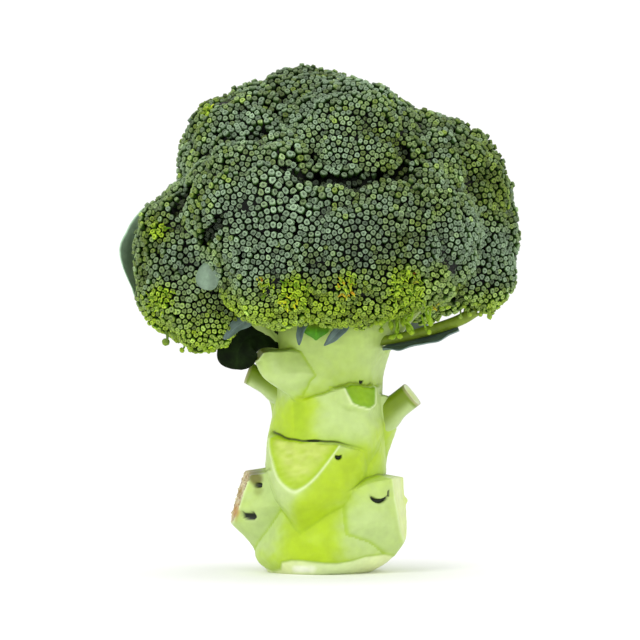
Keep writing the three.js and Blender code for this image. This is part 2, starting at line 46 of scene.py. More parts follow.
# Florets: name, middle, radius, where it forks off, and how far apart its buds stand.
FORK = (0, 0, 82)
FLORETS = [
    ("top", (-6.5, -3, 150.8), 29.0, FORK, 2.16),
    ("upper_front", (9.5, -27, 150.5), 21.5, FORK, 2.02),
    ("upper_left", (-27, -12, 147), 24.4, FORK, 2.16),
    ("upper_right", (26, -14, 140), 24.6, FORK, 2.21),
    ("upper_back_right", (14, 21, 143), 28.5, FORK, 2.26),
    ("upper_back_left", (-17, 20, 142.5), 28.5, FORK, 2.26),
    ("front", (8, -36, 114.5), 27.0, FORK, 2.16),
    ("front_left", (-23, -32, 129), 25.0, FORK, 2.15),
    ("front_low", (-18, -35, 106), 18.5, FORK, 2.07),
    ("front_right", (27, -31, 118), 25.2, FORK, 2.11),
    ("right_high", (40.5, -5, 137), 23.5, FORK, 2.16),
    ("right", (45.5, -3, 119.5), 22.5, FORK, 2.16),
    ("right_low", (55, -14, 104), 10.5, (24, -6, 98), 1.97),
    ("right_back", (33, 24, 118), 27.0, FORK, 2.26),
    ("back", (6, 37, 116.5), 28.5, FORK, 2.26),
    ("back_left", (-26, 32, 118), 28.0, FORK, 2.26),
    ("left_back", (-40, 10, 121.5), 23.5, FORK, 2.16),
    ("left", (-47.3, -18, 117), 19.3, FORK, 2.16),
    ("left_low", (-50.5, -17, 100.5), 15.5, (-22, -8, 100), 2.02),
    ("left_lowest", (-43, -21, 91.4), 12.0, (-26, -10, 100), 1.97),
]
MIDDLES = np.array([row[1] for row in FLORETS], float)
RADII = np.array([row[2] for row in FLORETS], float)
BLEND = 2.6  # how softly the florets' spheres run into each other
SEAM_GAP = 0.5  # between the shares of two florets
NECK_REACH = 1.2  # from a floret's middle back to its neck, in radii
NECK_RADIUS = 0.2  # in radii
NECK_FLARE = math.radians(52)

# Buds grow in small domes.
DOME_PITCH = 11.5
DOME_RISE = 1.8
DOME_REACH = 0.55  # half a dome's width, in pitches
PACKING = 0.87  # the area of a closely packed dome or bud, in squares of its pitch
CLOSEST = 0.8  # how near two buds may be offered, in pitches
EVENING_ROUNDS = 6  # rounds in which buds push each other apart
EVENING_OTHERS = 6  # the neighbours that push
EVENING_PUSH = 0.25
BUD_FOOT = 0.35  # how high a bud's middle stands over the crown's surface
GOLDEN_TURN = math.pi * (3 - math.sqrt(5))


def unit(v):
    return v / np.maximum(np.linalg.norm(v, axis=-1, keepdims=True), 1e-9)


def rgb(*levels):
    return np.array(levels)


def smooth(t):
    t = np.clip(t, 0, 1)
    return t * t * (3 - 2 * t)


def mix(a, b, t):
    t = np.asarray(t)[..., None]
    return a * (1 - t) + b * t


def waves(p, size, seed):
    """A smooth random field, mostly between -1 and 1, from a few crossing waves."""
    rng = np.random.default_rng(seed)
    total = np.zeros(p.shape[:-1])
    for _ in range(12):
        direction = unit(rng.normal(size=3))
        per_length = rng.uniform(0.6, 1.6) * 2 * math.pi / size
        total += np.sin(p @ direction * per_length + rng.uniform(0, 6.28))
    return total / 4


def distance_at_front(p, x, z):
    """How far places on the front half lie from x, z as seen from the front; others are far off."""
    return np.where(p[..., 1] < 0, np.hypot(p[..., 0] - x, p[..., 2] - z), np.inf)


def crown_height(p):
    """Signed height above the crown: the florets' spheres with their seams filled softly."""
    away = np.linalg.norm(p[..., None, :] - MIDDLES, axis=-1)
    return -BLEND * np.log(np.exp((RADII - away) / BLEND).sum(-1))


class Floret:
    """A ball of buds. Its share of the crown ends at the seams beside it and at its neck's cone."""

    def __init__(self, index):
        self.index = index
        name, middle, radius, fork, self.pitch = FLORETS[index]
        self.name = name
        self.middle = np.array(middle, float)
        self.radius = radius
        self.axis = unit(self.middle - np.array(fork, float))
        self.neck = self.middle - self.axis * NECK_REACH * radius
        normals = []
        reaches = []
        for other in range(len(FLORETS)):
            apart = MIDDLES[other] - self.middle
            length = np.linalg.norm(apart)
            if other == index or length > radius + RADII[other] + 2 * BLEND:
                continue
            along = (length ** 2 + radius ** 2 - RADII[other] ** 2) / (2 * length)
            normals.append(apart / length)
            reaches.append(normals[-1] @ self.middle + along - SEAM_GAP / 2)
        self.normals = np.array(normals)
        self.reaches = np.array(reaches)

    def seam_depth(self, p):
        return (p @ self.normals.T - self.reaches).max(-1)

    def cone_depth(self, p):
        from_neck = p - self.neck
        rise = from_neck @ self.axis
        spread = np.sqrt(np.maximum(0, (from_neck ** 2).sum(-1) - rise ** 2))
        cone = NECK_RADIUS * self.radius + rise * math.tan(NECK_FLARE)
        return np.maximum(-rise, spread - cone)

    def share_depth(self, p):
        return np.maximum(self.seam_depth(p), self.cone_depth(p))

    def at(self, directions, distance):
        return self.middle + directions * distance[..., None]

    def measure(self, directions):
        """How far the crown's surface and the floret's own share reach along directions."""
        limit = first_crossing(lambda r: self.share_depth(self.at(directions, r)), len(directions))
        surface = first_crossing(lambda r: crown_height(self.at(directions, r)), len(directions))
        return surface, limit


def first_crossing(depth, count, far=60.0, step=1.0, halvings=9):
    """How far out each of count directions goes before depth, a function of distances, is positive."""
    low = np.zeros(count)
    going = np.ones(count, bool)
    while going.any() and low.max() < far:
        going &= depth(low + step) < 0
        low = np.where(going, low + step, low)
    high = low + step
    for _ in range(halvings):
        half = (low + high) / 2
        inside = depth(half) < 0
        low = np.where(inside, half, low)
        high = np.where(inside, high, half)
    return low


def spiral_directions(count, turn):
    """Directions spread evenly over a ball."""
    i = np.arange(count)
    z = 1 - (2 * i + 1) / count
    ring = np.sqrt(1 - z * z)
    a = i * GOLDEN_TURN + turn
    return np.stack([ring * np.cos(a), ring * np.sin(a), z], -1)


def across(n):
    """Two directions square to n and to each other."""
    up = np.where(np.abs(n[..., 2:3]) < 0.9, [[0.0, 0.0, 1.0]], [[1.0, 0.0, 0.0]])
    x = unit(np.cross(up, n))
    return x, np.cross(n, x)


def turned_to(directions, axis):
    """Directions turned so that those along +Z point along axis."""
    x, y = across(axis[None, :])
    return directions[:, 0:1] * x + directions[:, 1:2] * y + directions[:, 2:3] * axis


def ball(subdivisions):
    mesh = bmesh.new()
    bmesh.ops.create_icosphere(mesh, subdivisions=subdivisions, radius=1)
    points = np.array([v.co[:] for v in mesh.verts])
    faces = np.array([[v.index for v in f.verts] for f in mesh.faces])
    mesh.free()
    return points, faces


BALL_POINTS, BALL_FACES = ball(4)


def ring_walls(rows, sides):
    """Quads between rings of points that follow one another, and the numbers of each ring."""
    index = np.arange(rows * sides).reshape(rows, sides)
    nxt = np.roll(index, -1, 1)
    return np.stack([index[:-1], nxt[:-1], nxt[1:], index[1:]], -1).reshape(-1, 4), index


def fan(ring, centre):
    """Triangles that close a ring on a centre."""
    return np.stack([ring, np.roll(ring, -1), np.full(len(ring), centre)], -1)


def closed_rings(rows, sides):
    """Faces of a rod of rings, closed at each end on a point that comes after all rings."""
    walls, index = ring_walls(rows, sides)
    foot = fan(index[0], rows * sides)[:, [1, 0, 2]]
    return [walls, np.concatenate([foot, fan(index[-1], rows * sides + 1)])]


def repeated(faces, count, points):
    """Faces of one of count like pieces, each with so many points, for all of them."""
    starts = np.arange(count)[:, None, None] * points
    return (faces[None] + starts).reshape(-1, faces.shape[1])


def add_object(name, data):
    new = bpy.data.objects.new(name, data)
    bpy.context.scene.collection.objects.link(new)
    return new


def make_mesh(name, points, faces, tints):
    """faces is a list of arrays of triangles or quads; tints has a colour for each point."""
    mesh = bpy.data.meshes.new(name)
    sizes = np.concatenate([np.full(len(f), f.shape[1]) for f in faces])
    corners = np.concatenate([f.ravel() for f in faces]).astype(np.int32)
    mesh.vertices.add(len(points))
    mesh.vertices.foreach_set("co", (points * METRE).astype(np.float32).ravel())
    mesh.loops.add(len(corners))
    mesh.loops.foreach_set("vertex_index", corners)
    mesh.polygons.add(len(sizes))
    starts = np.concatenate([[0], np.cumsum(sizes)[:-1]]).astype(np.int32)
    mesh.polygons.foreach_set("loop_start", starts)
    mesh.update(calc_edges=True)
    mesh.validate()
    layer = mesh.color_attributes.new("tint", "FLOAT_COLOR", "POINT")
    rgba = np.concatenate([tints, np.ones((len(points), 1))], 1).astype(np.float32)
    layer.data.foreach_set("color", rgba.ravel())
    mesh.shade_smooth()
    return mesh


class Pile:
    """Gathers the parts of one mesh."""

    def __init__(self):
        self.points = []
        self.faces = []
        self.tints = []
        self.count = 0

    def add(self, points, faces, tints):
        tints = np.broadcast_to(tints, points.shape)
        self.points.append(points)
        self.tints.append(tints)
        self.faces += [f + self.count for f in faces]
        self.count += len(points)

    def piece(self, name, material, slot, *nodes):
        mesh = make_mesh(name, np.concatenate(self.points), self.faces, np.concatenate(self.tints))
        mesh.materials.append(material)
        piece = add_object(name, mesh)
        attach(piece, "root")
        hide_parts(*nodes)


def new_material(name, values):
    """A material, with values on its shader's sockets."""
    material = bpy.data.materials.new(name)
    material.use_nodes = True
    set_sockets(material.node_tree.nodes["Principled BSDF"], values)
    return material


def set_sockets(node, values):
    for socket, value in values.items():
        node.inputs[socket].default_value = value


def tinted_material(name, roughness, bump, grain, specular, mottle):
    """A plant surface: the mesh's own tints, mottled and grained by noise."""
    material = new_material(name, {"Specular IOR Level": specular})
    nodes = material.node_tree.nodes
    link = material.node_tree.links.new
    shader = nodes["Principled BSDF"]
    tint = nodes.new("ShaderNodeVertexColor")
    tint.layer_name = "tint"
    where = nodes.new("ShaderNodeTexCoord")
    noise = nodes.new("ShaderNodeTexNoise")
    set_sockets(noise, {"Scale": grain, "Detail": 4})
    link(where.outputs["Object"], noise.inputs["Vector"])
    shades = nodes.new("ShaderNodeMapRange")
    set_sockets(shades, {"From Min": 0.3, "From Max": 0.7, "To Min": 1 - mottle, "To Max": 1 + mottle})
    link(noise.outputs["Fac"], shades.inputs["Value"])
    mixed = nodes.new("ShaderNodeVectorMath")
    mixed.operation = "SCALE"
    link(tint.outputs["Color"], mixed.inputs[0])
    link(shades.outputs["Result"], mixed.inputs["Scale"])
    link(mixed.outputs["Vector"], shader.inputs["Base Color"])
    rough = nodes.new("ShaderNodeMapRange")
    set_sockets(rough, {"To Min": roughness - 0.1, "To Max": roughness + 0.1})
    link(noise.outputs["Fac"], rough.inputs["Value"])
    link(rough.outputs["Result"], shader.inputs["Roughness"])
    relief = nodes.new("ShaderNodeBump")
    set_sockets(relief, {"Strength": bump, "Distance": 0.3 * METRE})
    link(noise.outputs["Fac"], relief.inputs["Height"])
    link(relief.outputs["Normal"], shader.inputs["Normal"])
    return material


BUD_LOOK = tinted_material("buds", 0.55, 0.3, 1400, specular=0.15, mottle=0.3)
STALK_LOOK = tinted_material("stalk", 0.42, 0.25, 260, specular=0.4, mottle=0.07)
LEAF_LOOK = tinted_material("leaf", 0.5, 0.4, 500, specular=0.3, mottle=0.15)
# A dull surface for the leaf tinted near black with painted shade.
SHADED_LEAF_LOOK = tinted_material("shaded_leaf", 0.6, 0.5, 300, specular=0.08, mottle=0.5)

# Buds: each row of the outline is a height, in shares of a bud's length, and a width, in shares of
# its reach. The last row is the rim of the dimple on top.
BUD_OUTLINE = [(-1.5, 0.4), (0.0, 1.0), (0.62, 0.78), (0.5, 0.36)]
BUD_TOP = 0.34  # the bottom of the dimple
BUD_LENGTH = 0.58  # in pitches
BUD_LENGTHS = (0.75, 1.3)  # shortest and longest, as shares of that
BUD_CROWDING = 0.9  # the share of the way to its neighbours that a bud fills
BUD_REACH = (0.33, 0.6)  # least and most, in pitches
BUD_SIDES = 8
BUD_SIDE_ANGLES = 2 * math.pi * np.arange(BUD_SIDES) / BUD_SIDES
NEIGHBOURS = 9
GAP_SHADE = rgb(0.0006, 0.002, 0.0002)  # painted shade between buds
SIDE = rgb(0.012, 0.042, 0.001)  # a closed bud's side, its green darkened with painted shade, and its tip with and without bloom
BLOOM = rgb(0.185, 0.262, 0.162)
OLIVE = rgb(0.12, 0.172, 0.034)
PALE_SIDE = rgb(0.05, 0.13, 0.001)  # a yellow-green bud's side and tip
PALE_TIP = rgb(0.36, 0.52, 0.024)
SHOULDER_LIGHT = 1.35  # a painted highlight on the ring above the middle and painted shade on the dimple's rim, as shares of the tip
RIM_LIGHT = 0.6
# A near-black core under the buds: painted shade between them.
CORE_SHADE = rgb(0.001, 0.002, 0.0002)
STEM = rgb(0.4, 0.56, 0.08)


def bud_template():
    """A bud's points, at a reach and a length of 1, and its quads and triangles."""
    points = [(width * math.cos(a), width * math.sin(a), height)
              for height, width in BUD_OUTLINE for a in BUD_SIDE_ANGLES]
    walls, index = ring_walls(len(BUD_OUTLINE), BUD_SIDES)
    return np.array(points + [(0, 0, BUD_TOP)]), walls, fan(index[-1], index.size)


BUD_POINTS, BUD_QUADS, BUD_CAPS = bud_template()
BUD_LEVELS = np.append(np.repeat(np.arange(len(BUD_OUTLINE)), BUD_SIDES), len(BUD_OUTLINE))
BUD_POINT_SIDES = np.append(np.tile(np.arange(BUD_SIDES), len(BUD_OUTLINE)), 0)


def nearest_others(places, count):
    """The numbers of each place's nearest others, in no order."""
    squares = (places ** 2).sum(-1)
    apart = squares[:, None] + squares[None] - 2 * places @ places.T
    np.fill_diagonal(apart, np.inf)
    count = min(count, len(places) - 1)
    return np.argpartition(apart, count - 1, axis=1)[:, :count]


def crowded_radii(places, ex, ey, pitch):
    """How far each bud spreads towards each of its sides before it meets its neighbours."""
    others = nearest_others(places, NEIGHBOURS)
    delta = places[others] - places[:, None, :]
    u = (delta * ex[:, None, :]).sum(-1)
    v = (delta * ey[:, None, :]).sum(-1)
    towards = u[..., None] * np.cos(BUD_SIDE_ANGLES) + v[..., None] * np.sin(BUD_SIDE_ANGLES)
    meet = (u ** 2 + v ** 2)[..., None] / (2 * np.maximum(towards, 1e-6))
    meet = np.where(towards > 0, meet, np.inf).min(1)
    return np.clip(BUD_CROWDING * meet, BUD_REACH[0] * pitch[:, None], BUD_REACH[1] * pitch[:, None])


def add_buds(pile, rng, places, axes, pitch, pale, olive, shade):
    """Closed buds at places, pointing along axes.

    pale turns them from grey-green to yellow-green, olive takes off their bloom and shade lights them.
    """
    count = len(places)
    turn = rng.uniform(0, math.pi, count)
    x, y = across(axes)
    ex = x * np.cos(turn)[:, None] + y * np.sin(turn)[:, None]
    ey = np.cross(axes, ex)
    reach = crowded_radii(places, ex, ey, pitch)
    spread = reach[:, BUD_POINT_SIDES]
    length = BUD_LENGTH * pitch * rng.uniform(*BUD_LENGTHS, count)
    points = (
        places[:, None, :]
        + (BUD_POINTS[None, :, 0:1] * ex[:, None, :] + BUD_POINTS[None, :, 1:2] * ey[:, None, :])
        * spread[..., None]
        + BUD_POINTS[None, :, 2:3] * axes[:, None, :] * length[:, None, None]
    )
    side = mix(SIDE, PALE_SIDE, pale)
    tip = mix(mix(BLOOM, OLIVE, olive), PALE_TIP, pale)
    # Painted shade in the dimple: its middle is tinted far darker than the tip.
    centre = mix(0.16 * tip, 0.25 * (tip + PALE_SIDE), pale)
    deep = mix(GAP_SHADE, 0.08 * PALE_SIDE, pale)
    # Each bud from its foot up: painted shade between buds, the side, a painted highlight, then painted
    # shade on the dimple's rim and in its middle.
    levels = np.stack([deep, side, SHOULDER_LIGHT * tip, RIM_LIGHT * tip, centre], 1)
    tints = levels[:, BUD_LEVELS, :] * shade[:, None, None]
    faces = [repeated(f, count, len(BUD_POINTS)) for f in (BUD_QUADS, BUD_CAPS)]
    pile.add(points.reshape(-1, 3), faces, tints.reshape(-1, 3))


# Round spots at the front where buds are opening or yellow: x, z, radius and strength.
YELLOW_SPOTS = [
    (-58, 120, 5, 0.9), (-57, 97, 7, 0.9), (-11, 98, 8, 0.95), (7, 101, 6, 0.8),
    (27, 99, 11, 0.85), (-42, 162.5, 3, 1.0), (-20, 100, 5, 0.6), (38, 104, 6, 0.5),
]

# Clefts between florets at the front, where buds sink and are darkened by painted shade: x, z, x, z, half
# width and depth.
CLEFTS = [
    (-9, 137, 8, 135.5, 2.0, 3.5), (8, 135.5, 27, 139, 2.2, 3.5), (27, 139, 28, 147, 1.4, 2.5),
    (-27, 153, -21, 154.5, 1.4, 2.5), (-52, 127, -48, 134, 1.8, 3), (-42, 116, -36, 122, 1.8, 3),
    (31, 134, 36, 96, 0.7, 0.6), (-14, 122, -16, 98, 0.7, 0.7), (46, 100, 48, 92, 1.6, 2),
]


def cleft_depth(p):
    """How strongly each place lies in a cleft, which sets its painted shade, and how deep the cleft is
    there.
    """
    strength = np.zeros(len(p))
    depth = np.zeros(len(p))
    for x0, z0, x1, z1, half_width, deep in CLEFTS:
        a = np.array([x0, z0], float)
        run = np.array([x1, z1], float) - a
        from_a = p[:, [0, 2]] - a
        t = np.clip(from_a @ run / (run @ run), 0, 1)
        away = np.linalg.norm(from_a - t[:, None] * run, axis=1)
        here = smooth(1.5 - away / half_width) * (p[:, 1] < 0)  # nothing behind the front half
        strength = np.maximum(strength, here * min(1, deep / 3))
        depth = np.maximum(depth, here * deep)
    return strength, depth


def yellowness(p):
    """How strongly each place lies in a spot where buds open."""
    total = np.zeros(len(p))
    for x, z, radius, strength in YELLOW_SPOTS:
        away = distance_at_front(p, x, z)
        total = np.maximum(total, strength * smooth((radius - away) / radius * 1.6))
    return total


# Where buds are larger or smaller than the rest of their floret: x, z, radius and by how much.
SIZE_SPOTS = [
    (-12, 134, 14, 1.16), (-34, 146, 12, 0.9), (50, 130, 16, 0.94), (4, 97, 22, 0.86),
]

# Where buds are lighter and bluer: x, z, radius, how much lighter and how much less olive.
BLOOM_SPOTS = [
    (-16, 140, 24, 0.12, 0.33), (6, 158, 20, 0.12, 0.15), (-8, 172, 16, -0.22, 0),
    (-50, 108, 22, -0.06, 0), (20, 100, 24, -0.16, 0), (50, 104, 20, 0.1, 0.6),
    (-24, 120, 18, 0.08, 0.45),
]


def local_bloom(p):
    """How light and how blue buds are at places, over what they are elsewhere."""
    light = np.ones(len(p))
    bluer = np.zeros(len(p))
    for x, z, radius, more, less in BLOOM_SPOTS:
        near = smooth((1.3 * radius - distance_at_front(p, x, z)) / (0.6 * radius))
        light += more * near
        bluer += less * near
    return light, bluer


def local_pitch(floret, p):
    """How far apart a floret's buds stand at places."""
    scale = np.ones(len(p))
    for x, z, radius, factor in SIZE_SPOTS:
        near = smooth((1.2 * radius - distance_at_front(p, x, z)) / (0.5 * radius))
        scale += (factor - 1) * near
    return floret.pitch * scale


def spaced(places, room):
    """Those places, in their order, that stay clear of the ones taken before them."""
    taken = np.zeros((0, 3))
    for place, apart in zip(places, room):
        if not len(taken) or ((taken - place) ** 2).sum(-1).min() > (CLOSEST * apart) ** 2:
            taken = np.append(taken, [place], 0)
    return taken


def evened(places, room):
    """Places after their neighbours pushed them apart."""
    for _ in range(EVENING_ROUNDS):
        others = nearest_others(places, EVENING_OTHERS)
        delta = places[:, None, :] - places[others]
        length = np.linalg.norm(delta, axis=-1, keepdims=True)
        push = np.maximum(0, room[:, None, None] - length) / length
        places = places + EVENING_PUSH * (delta * push).sum(1)
    return places


def bud_directions(floret, rng):
    """Where a floret's buds sit, packed close on small domes, and the domes' own directions."""
    area = 4 * math.pi * floret.radius ** 2
    count = round(area / (PACKING * DOME_PITCH ** 2))
    domes = unit(spiral_directions(count, floret.index) + rng.normal(0, 0.1, (count, 3)))
    domes = turned_to(domes, floret.axis)
    per_dome = round(2.2 * (DOME_PITCH / floret.pitch) ** 2)
    i = np.arange(per_dome)
    ring = floret.pitch * np.sqrt(PACKING / math.pi * (i + 0.35)) / floret.radius
    x, y = across(domes)
    swirl = (i * GOLDEN_TURN)[:, None, None] + rng.uniform(0, 2 * math.pi, (1, count, 1))
    spirals = unit(domes + ring[:, None, None] * (np.cos(swirl) * x + np.sin(swirl) * y)).reshape(-1, 3)
    # More places than buds are offered, so that none fits in at the end.
    spare = spiral_directions(round(5 * area / floret.pitch ** 2), 1.0)
    offered = np.concatenate([spirals, rng.permutation(spare)])
    surface, limit = floret.measure(offered)
    own = surface < limit + SEAM_GAP
    places = floret.at(offered[own], surface[own])
    places = spaced(places, local_pitch(floret, places))
    places = evened(places, local_pitch(floret, places))
    return unit(places - floret.middle), domes


# Dried and yellow petals at the front: x, z, how far they spread and their colour.
PETAL_SPOTS = [
    (6.5, 99.5, 2.6, (0.5, 0.26, 0.01)), (28.6, 102.3, 1.9, (0.16, 0.03, 0.006)),
    (-22.6, 102.5, 1.5, (0.25, 0.1, 0.01)), (-12.3, 95, 3.0, (0.6, 0.55, 0.01)),
    (-41, 162.6, 1.2, (0.75, 0.75, 0.0)), (37, 93.5, 1.8, (0.5, 0.4, 0.02)),
]
PETAL_ROWS = 6
OPEN = 0.5  # how yellow a place is where buds open


def petal_faces():
    walls, rings = ring_walls(PETAL_ROWS, 4)
    return np.concatenate([walls, rings[:1, ::-1], rings[-1:]])


def add_petals(pile, rng, starts, axes, sizes, tints):
    """Small flower leaves that bend outward: flat rods with four sides."""
    turn = rng.uniform(0, 2 * math.pi, len(starts))
    x, y = across(axes)
    lean = x * np.cos(turn)[:, None] + y * np.sin(turn)[:, None]
    side = np.cross(axes, lean)
    t = np.linspace(0, 1, PETAL_ROWS)
    bend = rng.uniform(0.6, 1.7, len(starts))[:, None] * t ** 2
    path = (starts[:, None] + sizes[:, None, None]
            * (axes[:, None] * t[:, None] + lean[:, None] * bend[..., None]))
    wide = (0.3 * sizes[:, None] * np.sin(math.pi * (0.12 + 0.8 * t)))[..., None]
    flat = 0.3 * wide
    corners = [side[:, None] * wide, -lean[:, None] * flat, -side[:, None] * wide, lean[:, None] * flat]
    points = path[:, :, None] + np.stack(corners, 2)
    colours = np.asarray(tints)[:, None, None] * (0.45 + 0.75 * t)[:, None, None]
    colours = np.broadcast_to(colours, points.shape)
    faces = repeated(petal_faces(), len(starts), 4 * PETAL_ROWS)
    pile.add(points.reshape(-1, 3), [faces], colours.reshape(-1, 3))


# Sprigs that hang from a floret's underside: floret, how many, the box that they start in, how
# far they hang, how thick they are and their colour.
HANGING = [
    ("front_right", 18, (21, -43, 88), (37, -34, 96), 6.5, 0.34, (0.24, 0.42, 0.015)),
    ("front", 12, (-12, -44, 90), (22, -36, 92), 3.5, 0.34, (0.28, 0.44, 0.03)),
    ("left_low", 4, (-57, -24, 86), (-50, -18, 89), 6.5, 0.5, (0.13, 0.22, 0.03)),
    ("right_low", 9, (46, -19, 93), (58, -12, 96), 3.5, 0.34, (0.32, 0.48, 0.08)),
    ("left_lowest", 7, (-50, -28, 80), (-38, -20, 82), 3.0, 0.36, (0.25, 0.4, 0.03)),
]
HANGING_BUD = 0.62  # where a sprig's bud starts, as a share of its length
HANGING_ROWS = 11
HANGING_SIDES = 7


def add_hanging(pile, rng, count, low, high, hang, thick, tint):
    """Thin stalks that hang from places between low and high, each with a bud at its end."""
    for _ in range(count):
        start = rng.uniform(low, high)
        reach = np.array([rng.normal(0, 0.35), rng.normal(-0.1, 0.2), -rng.uniform(0.55, 1.0)]) * hang
        curl = unit(rng.normal(size=3)) * 0.35 * hang
        t = np.linspace(0, 1, HANGING_ROWS)
        path = start + reach * t[:, None] + curl * np.sin(math.pi * t)[:, None]
        bud = np.clip((t - HANGING_BUD) / (1 - HANGING_BUD), 0, 1)
        radii = thick * (1 + 2.0 * np.sin(math.pi * bud))
        radii[-1] = 0.3 * thick
        tints = mix(0.8 * np.array(tint), 0.8 * PALE_TIP, 0.7 * bud)
        tube(pile, path, radii, tints, HANGING_SIDES)


CORE_DEPTH = 1.6  # under the crown's surface


def add_core(pile, floret):
    """The core under the buds, tinted near black as painted shade, and the pale cone of flower stalks."""
    surface, limit = floret.measure(BALL_POINTS)
    cone = floret.cone_depth(floret.at(BALL_POINTS, limit)) > -0.4
    sunk = cleft_depth(floret.at(BALL_POINTS, surface))[1]
    reach = np.minimum(surface - CORE_DEPTH - sunk, limit)
    stem = (cone & (limit < surface))[:, None]
    pile.add(floret.at(BALL_POINTS, reach), [BALL_FACES], np.where(stem, 0.5 * STEM, CORE_SHADE))


def crown_slope(places, step=0.5):
    """The way in which the crown's height grows at places."""
    return np.stack([
        crown_height(places + step * side) - crown_height(places - step * side)
        for side in np.eye(3)], -1)


LOW_FRONT = 108  # the height under which buds at the front turn yellow-green
ODD_SHARE = 0.03  # the share of single buds that are yellow-green


def bud_tones(rng, places, outward, cleft, off):
    """How yellow-green, how olive and how light buds are. off is their way from a dome's middle."""
    light, bluer = local_bloom(places)
    count = len(places)
    under = smooth((-0.05 - outward[:, 2]) / 0.7)
    pale = 0.02 + 0.45 * under + rng.normal(0, 0.06, count) + 0.1 * waves(places, 13, 21)
    pale += 0.07 * smooth(np.abs(outward[:, 0]) * 2 - 1)
    pale += 0.22 * smooth((LOW_FRONT - places[:, 2]) / 16) * (places[:, 1] < 0) - 0.25 * bluer
    pale += 0.35 * (rng.uniform(0, 1, count) < ODD_SHARE)
    pale = np.clip(np.maximum(pale, yellowness(places)), 0, 1)
    olive = np.clip(0.45 + 0.4 * waves(places, 34, 5) + rng.normal(0, 0.28, count) - bluer, 0, 1)
    # Painted shade: buds darken towards the edge of their dome and in clefts.
    shade = rng.normal(0.97, 0.22, count).clip(0.5, 1.6) * (1 - 0.45 * smooth(off - 0.6))
    return pale, olive, shade * ((1 - 0.85 * cleft) * light)


def add_flowers(pile, rng, floret, places, axes):
    """Two flower leaves for each bud that opens, dried petals, and sprigs that hang underneath."""
    opening = np.repeat(np.flatnonzero(yellowness(places) > OPEN), 2)
    tints = mix(1.3 * PALE_SIDE, 1.1 * PALE_TIP, rng.uniform(0, 1, len(opening)))
    add_petals(pile, rng, places[opening], axes[opening], rng.uniform(0.9, 1.7, len(opening)), tints)
    for x, z, radius, tint in PETAL_SPOTS:
        near = np.repeat(np.flatnonzero(distance_at_front(places, x, z) < radius), 2)
        tints = mix(np.array(tint), PALE_TIP, rng.uniform(0, 0.8, len(near)))
        add_petals(pile, rng, places[near], axes[near], rng.uniform(1.0, 1.7, len(near)), tints)
    for name, *sprigs in HANGING:
        if name == floret.name:
            add_hanging(pile, rng, *sprigs)


def floret_piece(index):
    floret = Floret(index)
    rng = np.random.default_rng(100 + index)
    pile = Pile()
    add_core(pile, floret)

    # Buds point away from the crown and lean away from the middle of their dome.
    directions, domes = bud_directions(floret, rng)
    surface = floret.measure(directions)[0]
    apart = np.linalg.norm(directions[:, None, :] - domes[None, :, :], axis=-1)
    dome_radii = floret.radius / (DOME_REACH * DOME_PITCH)
    off = apart.min(1) * dome_radii
    relief = DOME_RISE * (0.4 - off ** 2) + rng.normal(0, 0.4, len(off))
    cleft, sunk = cleft_depth(floret.at(directions, surface))
    places = floret.at(directions, surface + BUD_FOOT + relief - sunk)
    outward = unit(0.75 * unit(crown_slope(places)) + 0.25 * unit(places - floret.neck))
    lean = (directions - domes[apart.argmin(1)]) * dome_radii
    axes = unit(outward + 0.5 * lean + rng.normal(0, 0.15, outward.shape))
    pale, olive, shade = bud_tones(rng, places, outward, cleft, off)
    add_buds(pile, rng, places, axes, local_pitch(floret, places), pale, olive, shade)
    add_flowers(pile, rng, floret, places, axes)
    pile.piece("buds_" + floret.name, BUD_LOOK, "buds", "floret_" + floret.name)


# Stalk: height, radius and sideways offset
PROFILE = np.array([
    (0, 18.5, -2.5), (1.6, 21, -1.5), (4.5, 24.2, -0.4), (9, 25, 0), (16, 23.6, 0.2),
    (28, 22.6, 0.3), (42, 21.6, 0.5), (50, 21.2, 0.8), (60, 19.6, 0.9), (70, 19.5, 0.7),
    (78, 20.8, 1.5), (86, 22.4, 3), (94, 20, 4),
], float)
SCALE_POINT = 1.7  # how blunt a scale's lower end is
LEDGE = 1.0  # the height of the step down behind a scale's edge

# Leaf scales: the way each faces and by how much its foot is turned from that, the height of its
# upper edge and how that sinks to the right and arches, its width, its length down to the foot, the
# length over which it swells, how far it stands out, the cut's distance past the stalk, how much the
# cut looks up and turns, how round the scale is across, and how the cut looks.
SCALES = [
    (-82, 0, 35.4, 0, 0, 31, 29, 14, 12, 6.6, 18, 1, 2, "dried"),
    (66, 0, 34.2, -1.2, 5.5, 42, 32, 16, 7.5, 4, 8, 12, 2, "pale"),
    (-18.5, -4, 46, 3, 0, 46, 32, 13, 9, 0.9, 29, -5.5, 1.5, "yellow"),
    (22, 0, 64.8, -3, 1.2, 42, 34, 22, 2.8, 2.6, 7, 4, 2, "none"),
    (29, 0, 65.9, -0.4, 0, 18.5, 14, 9, 6, 2.8, 19, 4, 2.6, "fresh"),
    (88, 0, 62, 0, 0, 20, 24, 20, 5, 5, 0, 0, 2, "none"),
    (-64, 30, 79.2, 1.8, 0, 25, 19, 10, 9.5, 5, 36, -16, 1.8, "aged"),
    (-100, 0, 71, 0, 0, 16, 18, 15, 4, 4, 0, 0, 2, "none"),
    (148, 0, 54, 3, 0, 34, 34, 24, 8, 1.4, 13, 0, 1.4, "yellow"),
    (-158, 0, 33, -3, 0, 36, 30, 18, 8, 2, 12, 0, 2, "pale"),
    (-150, 0, 67, 0, 0, 22, 26, 20, 5, 5, 0, 0, 2, "none"),
]

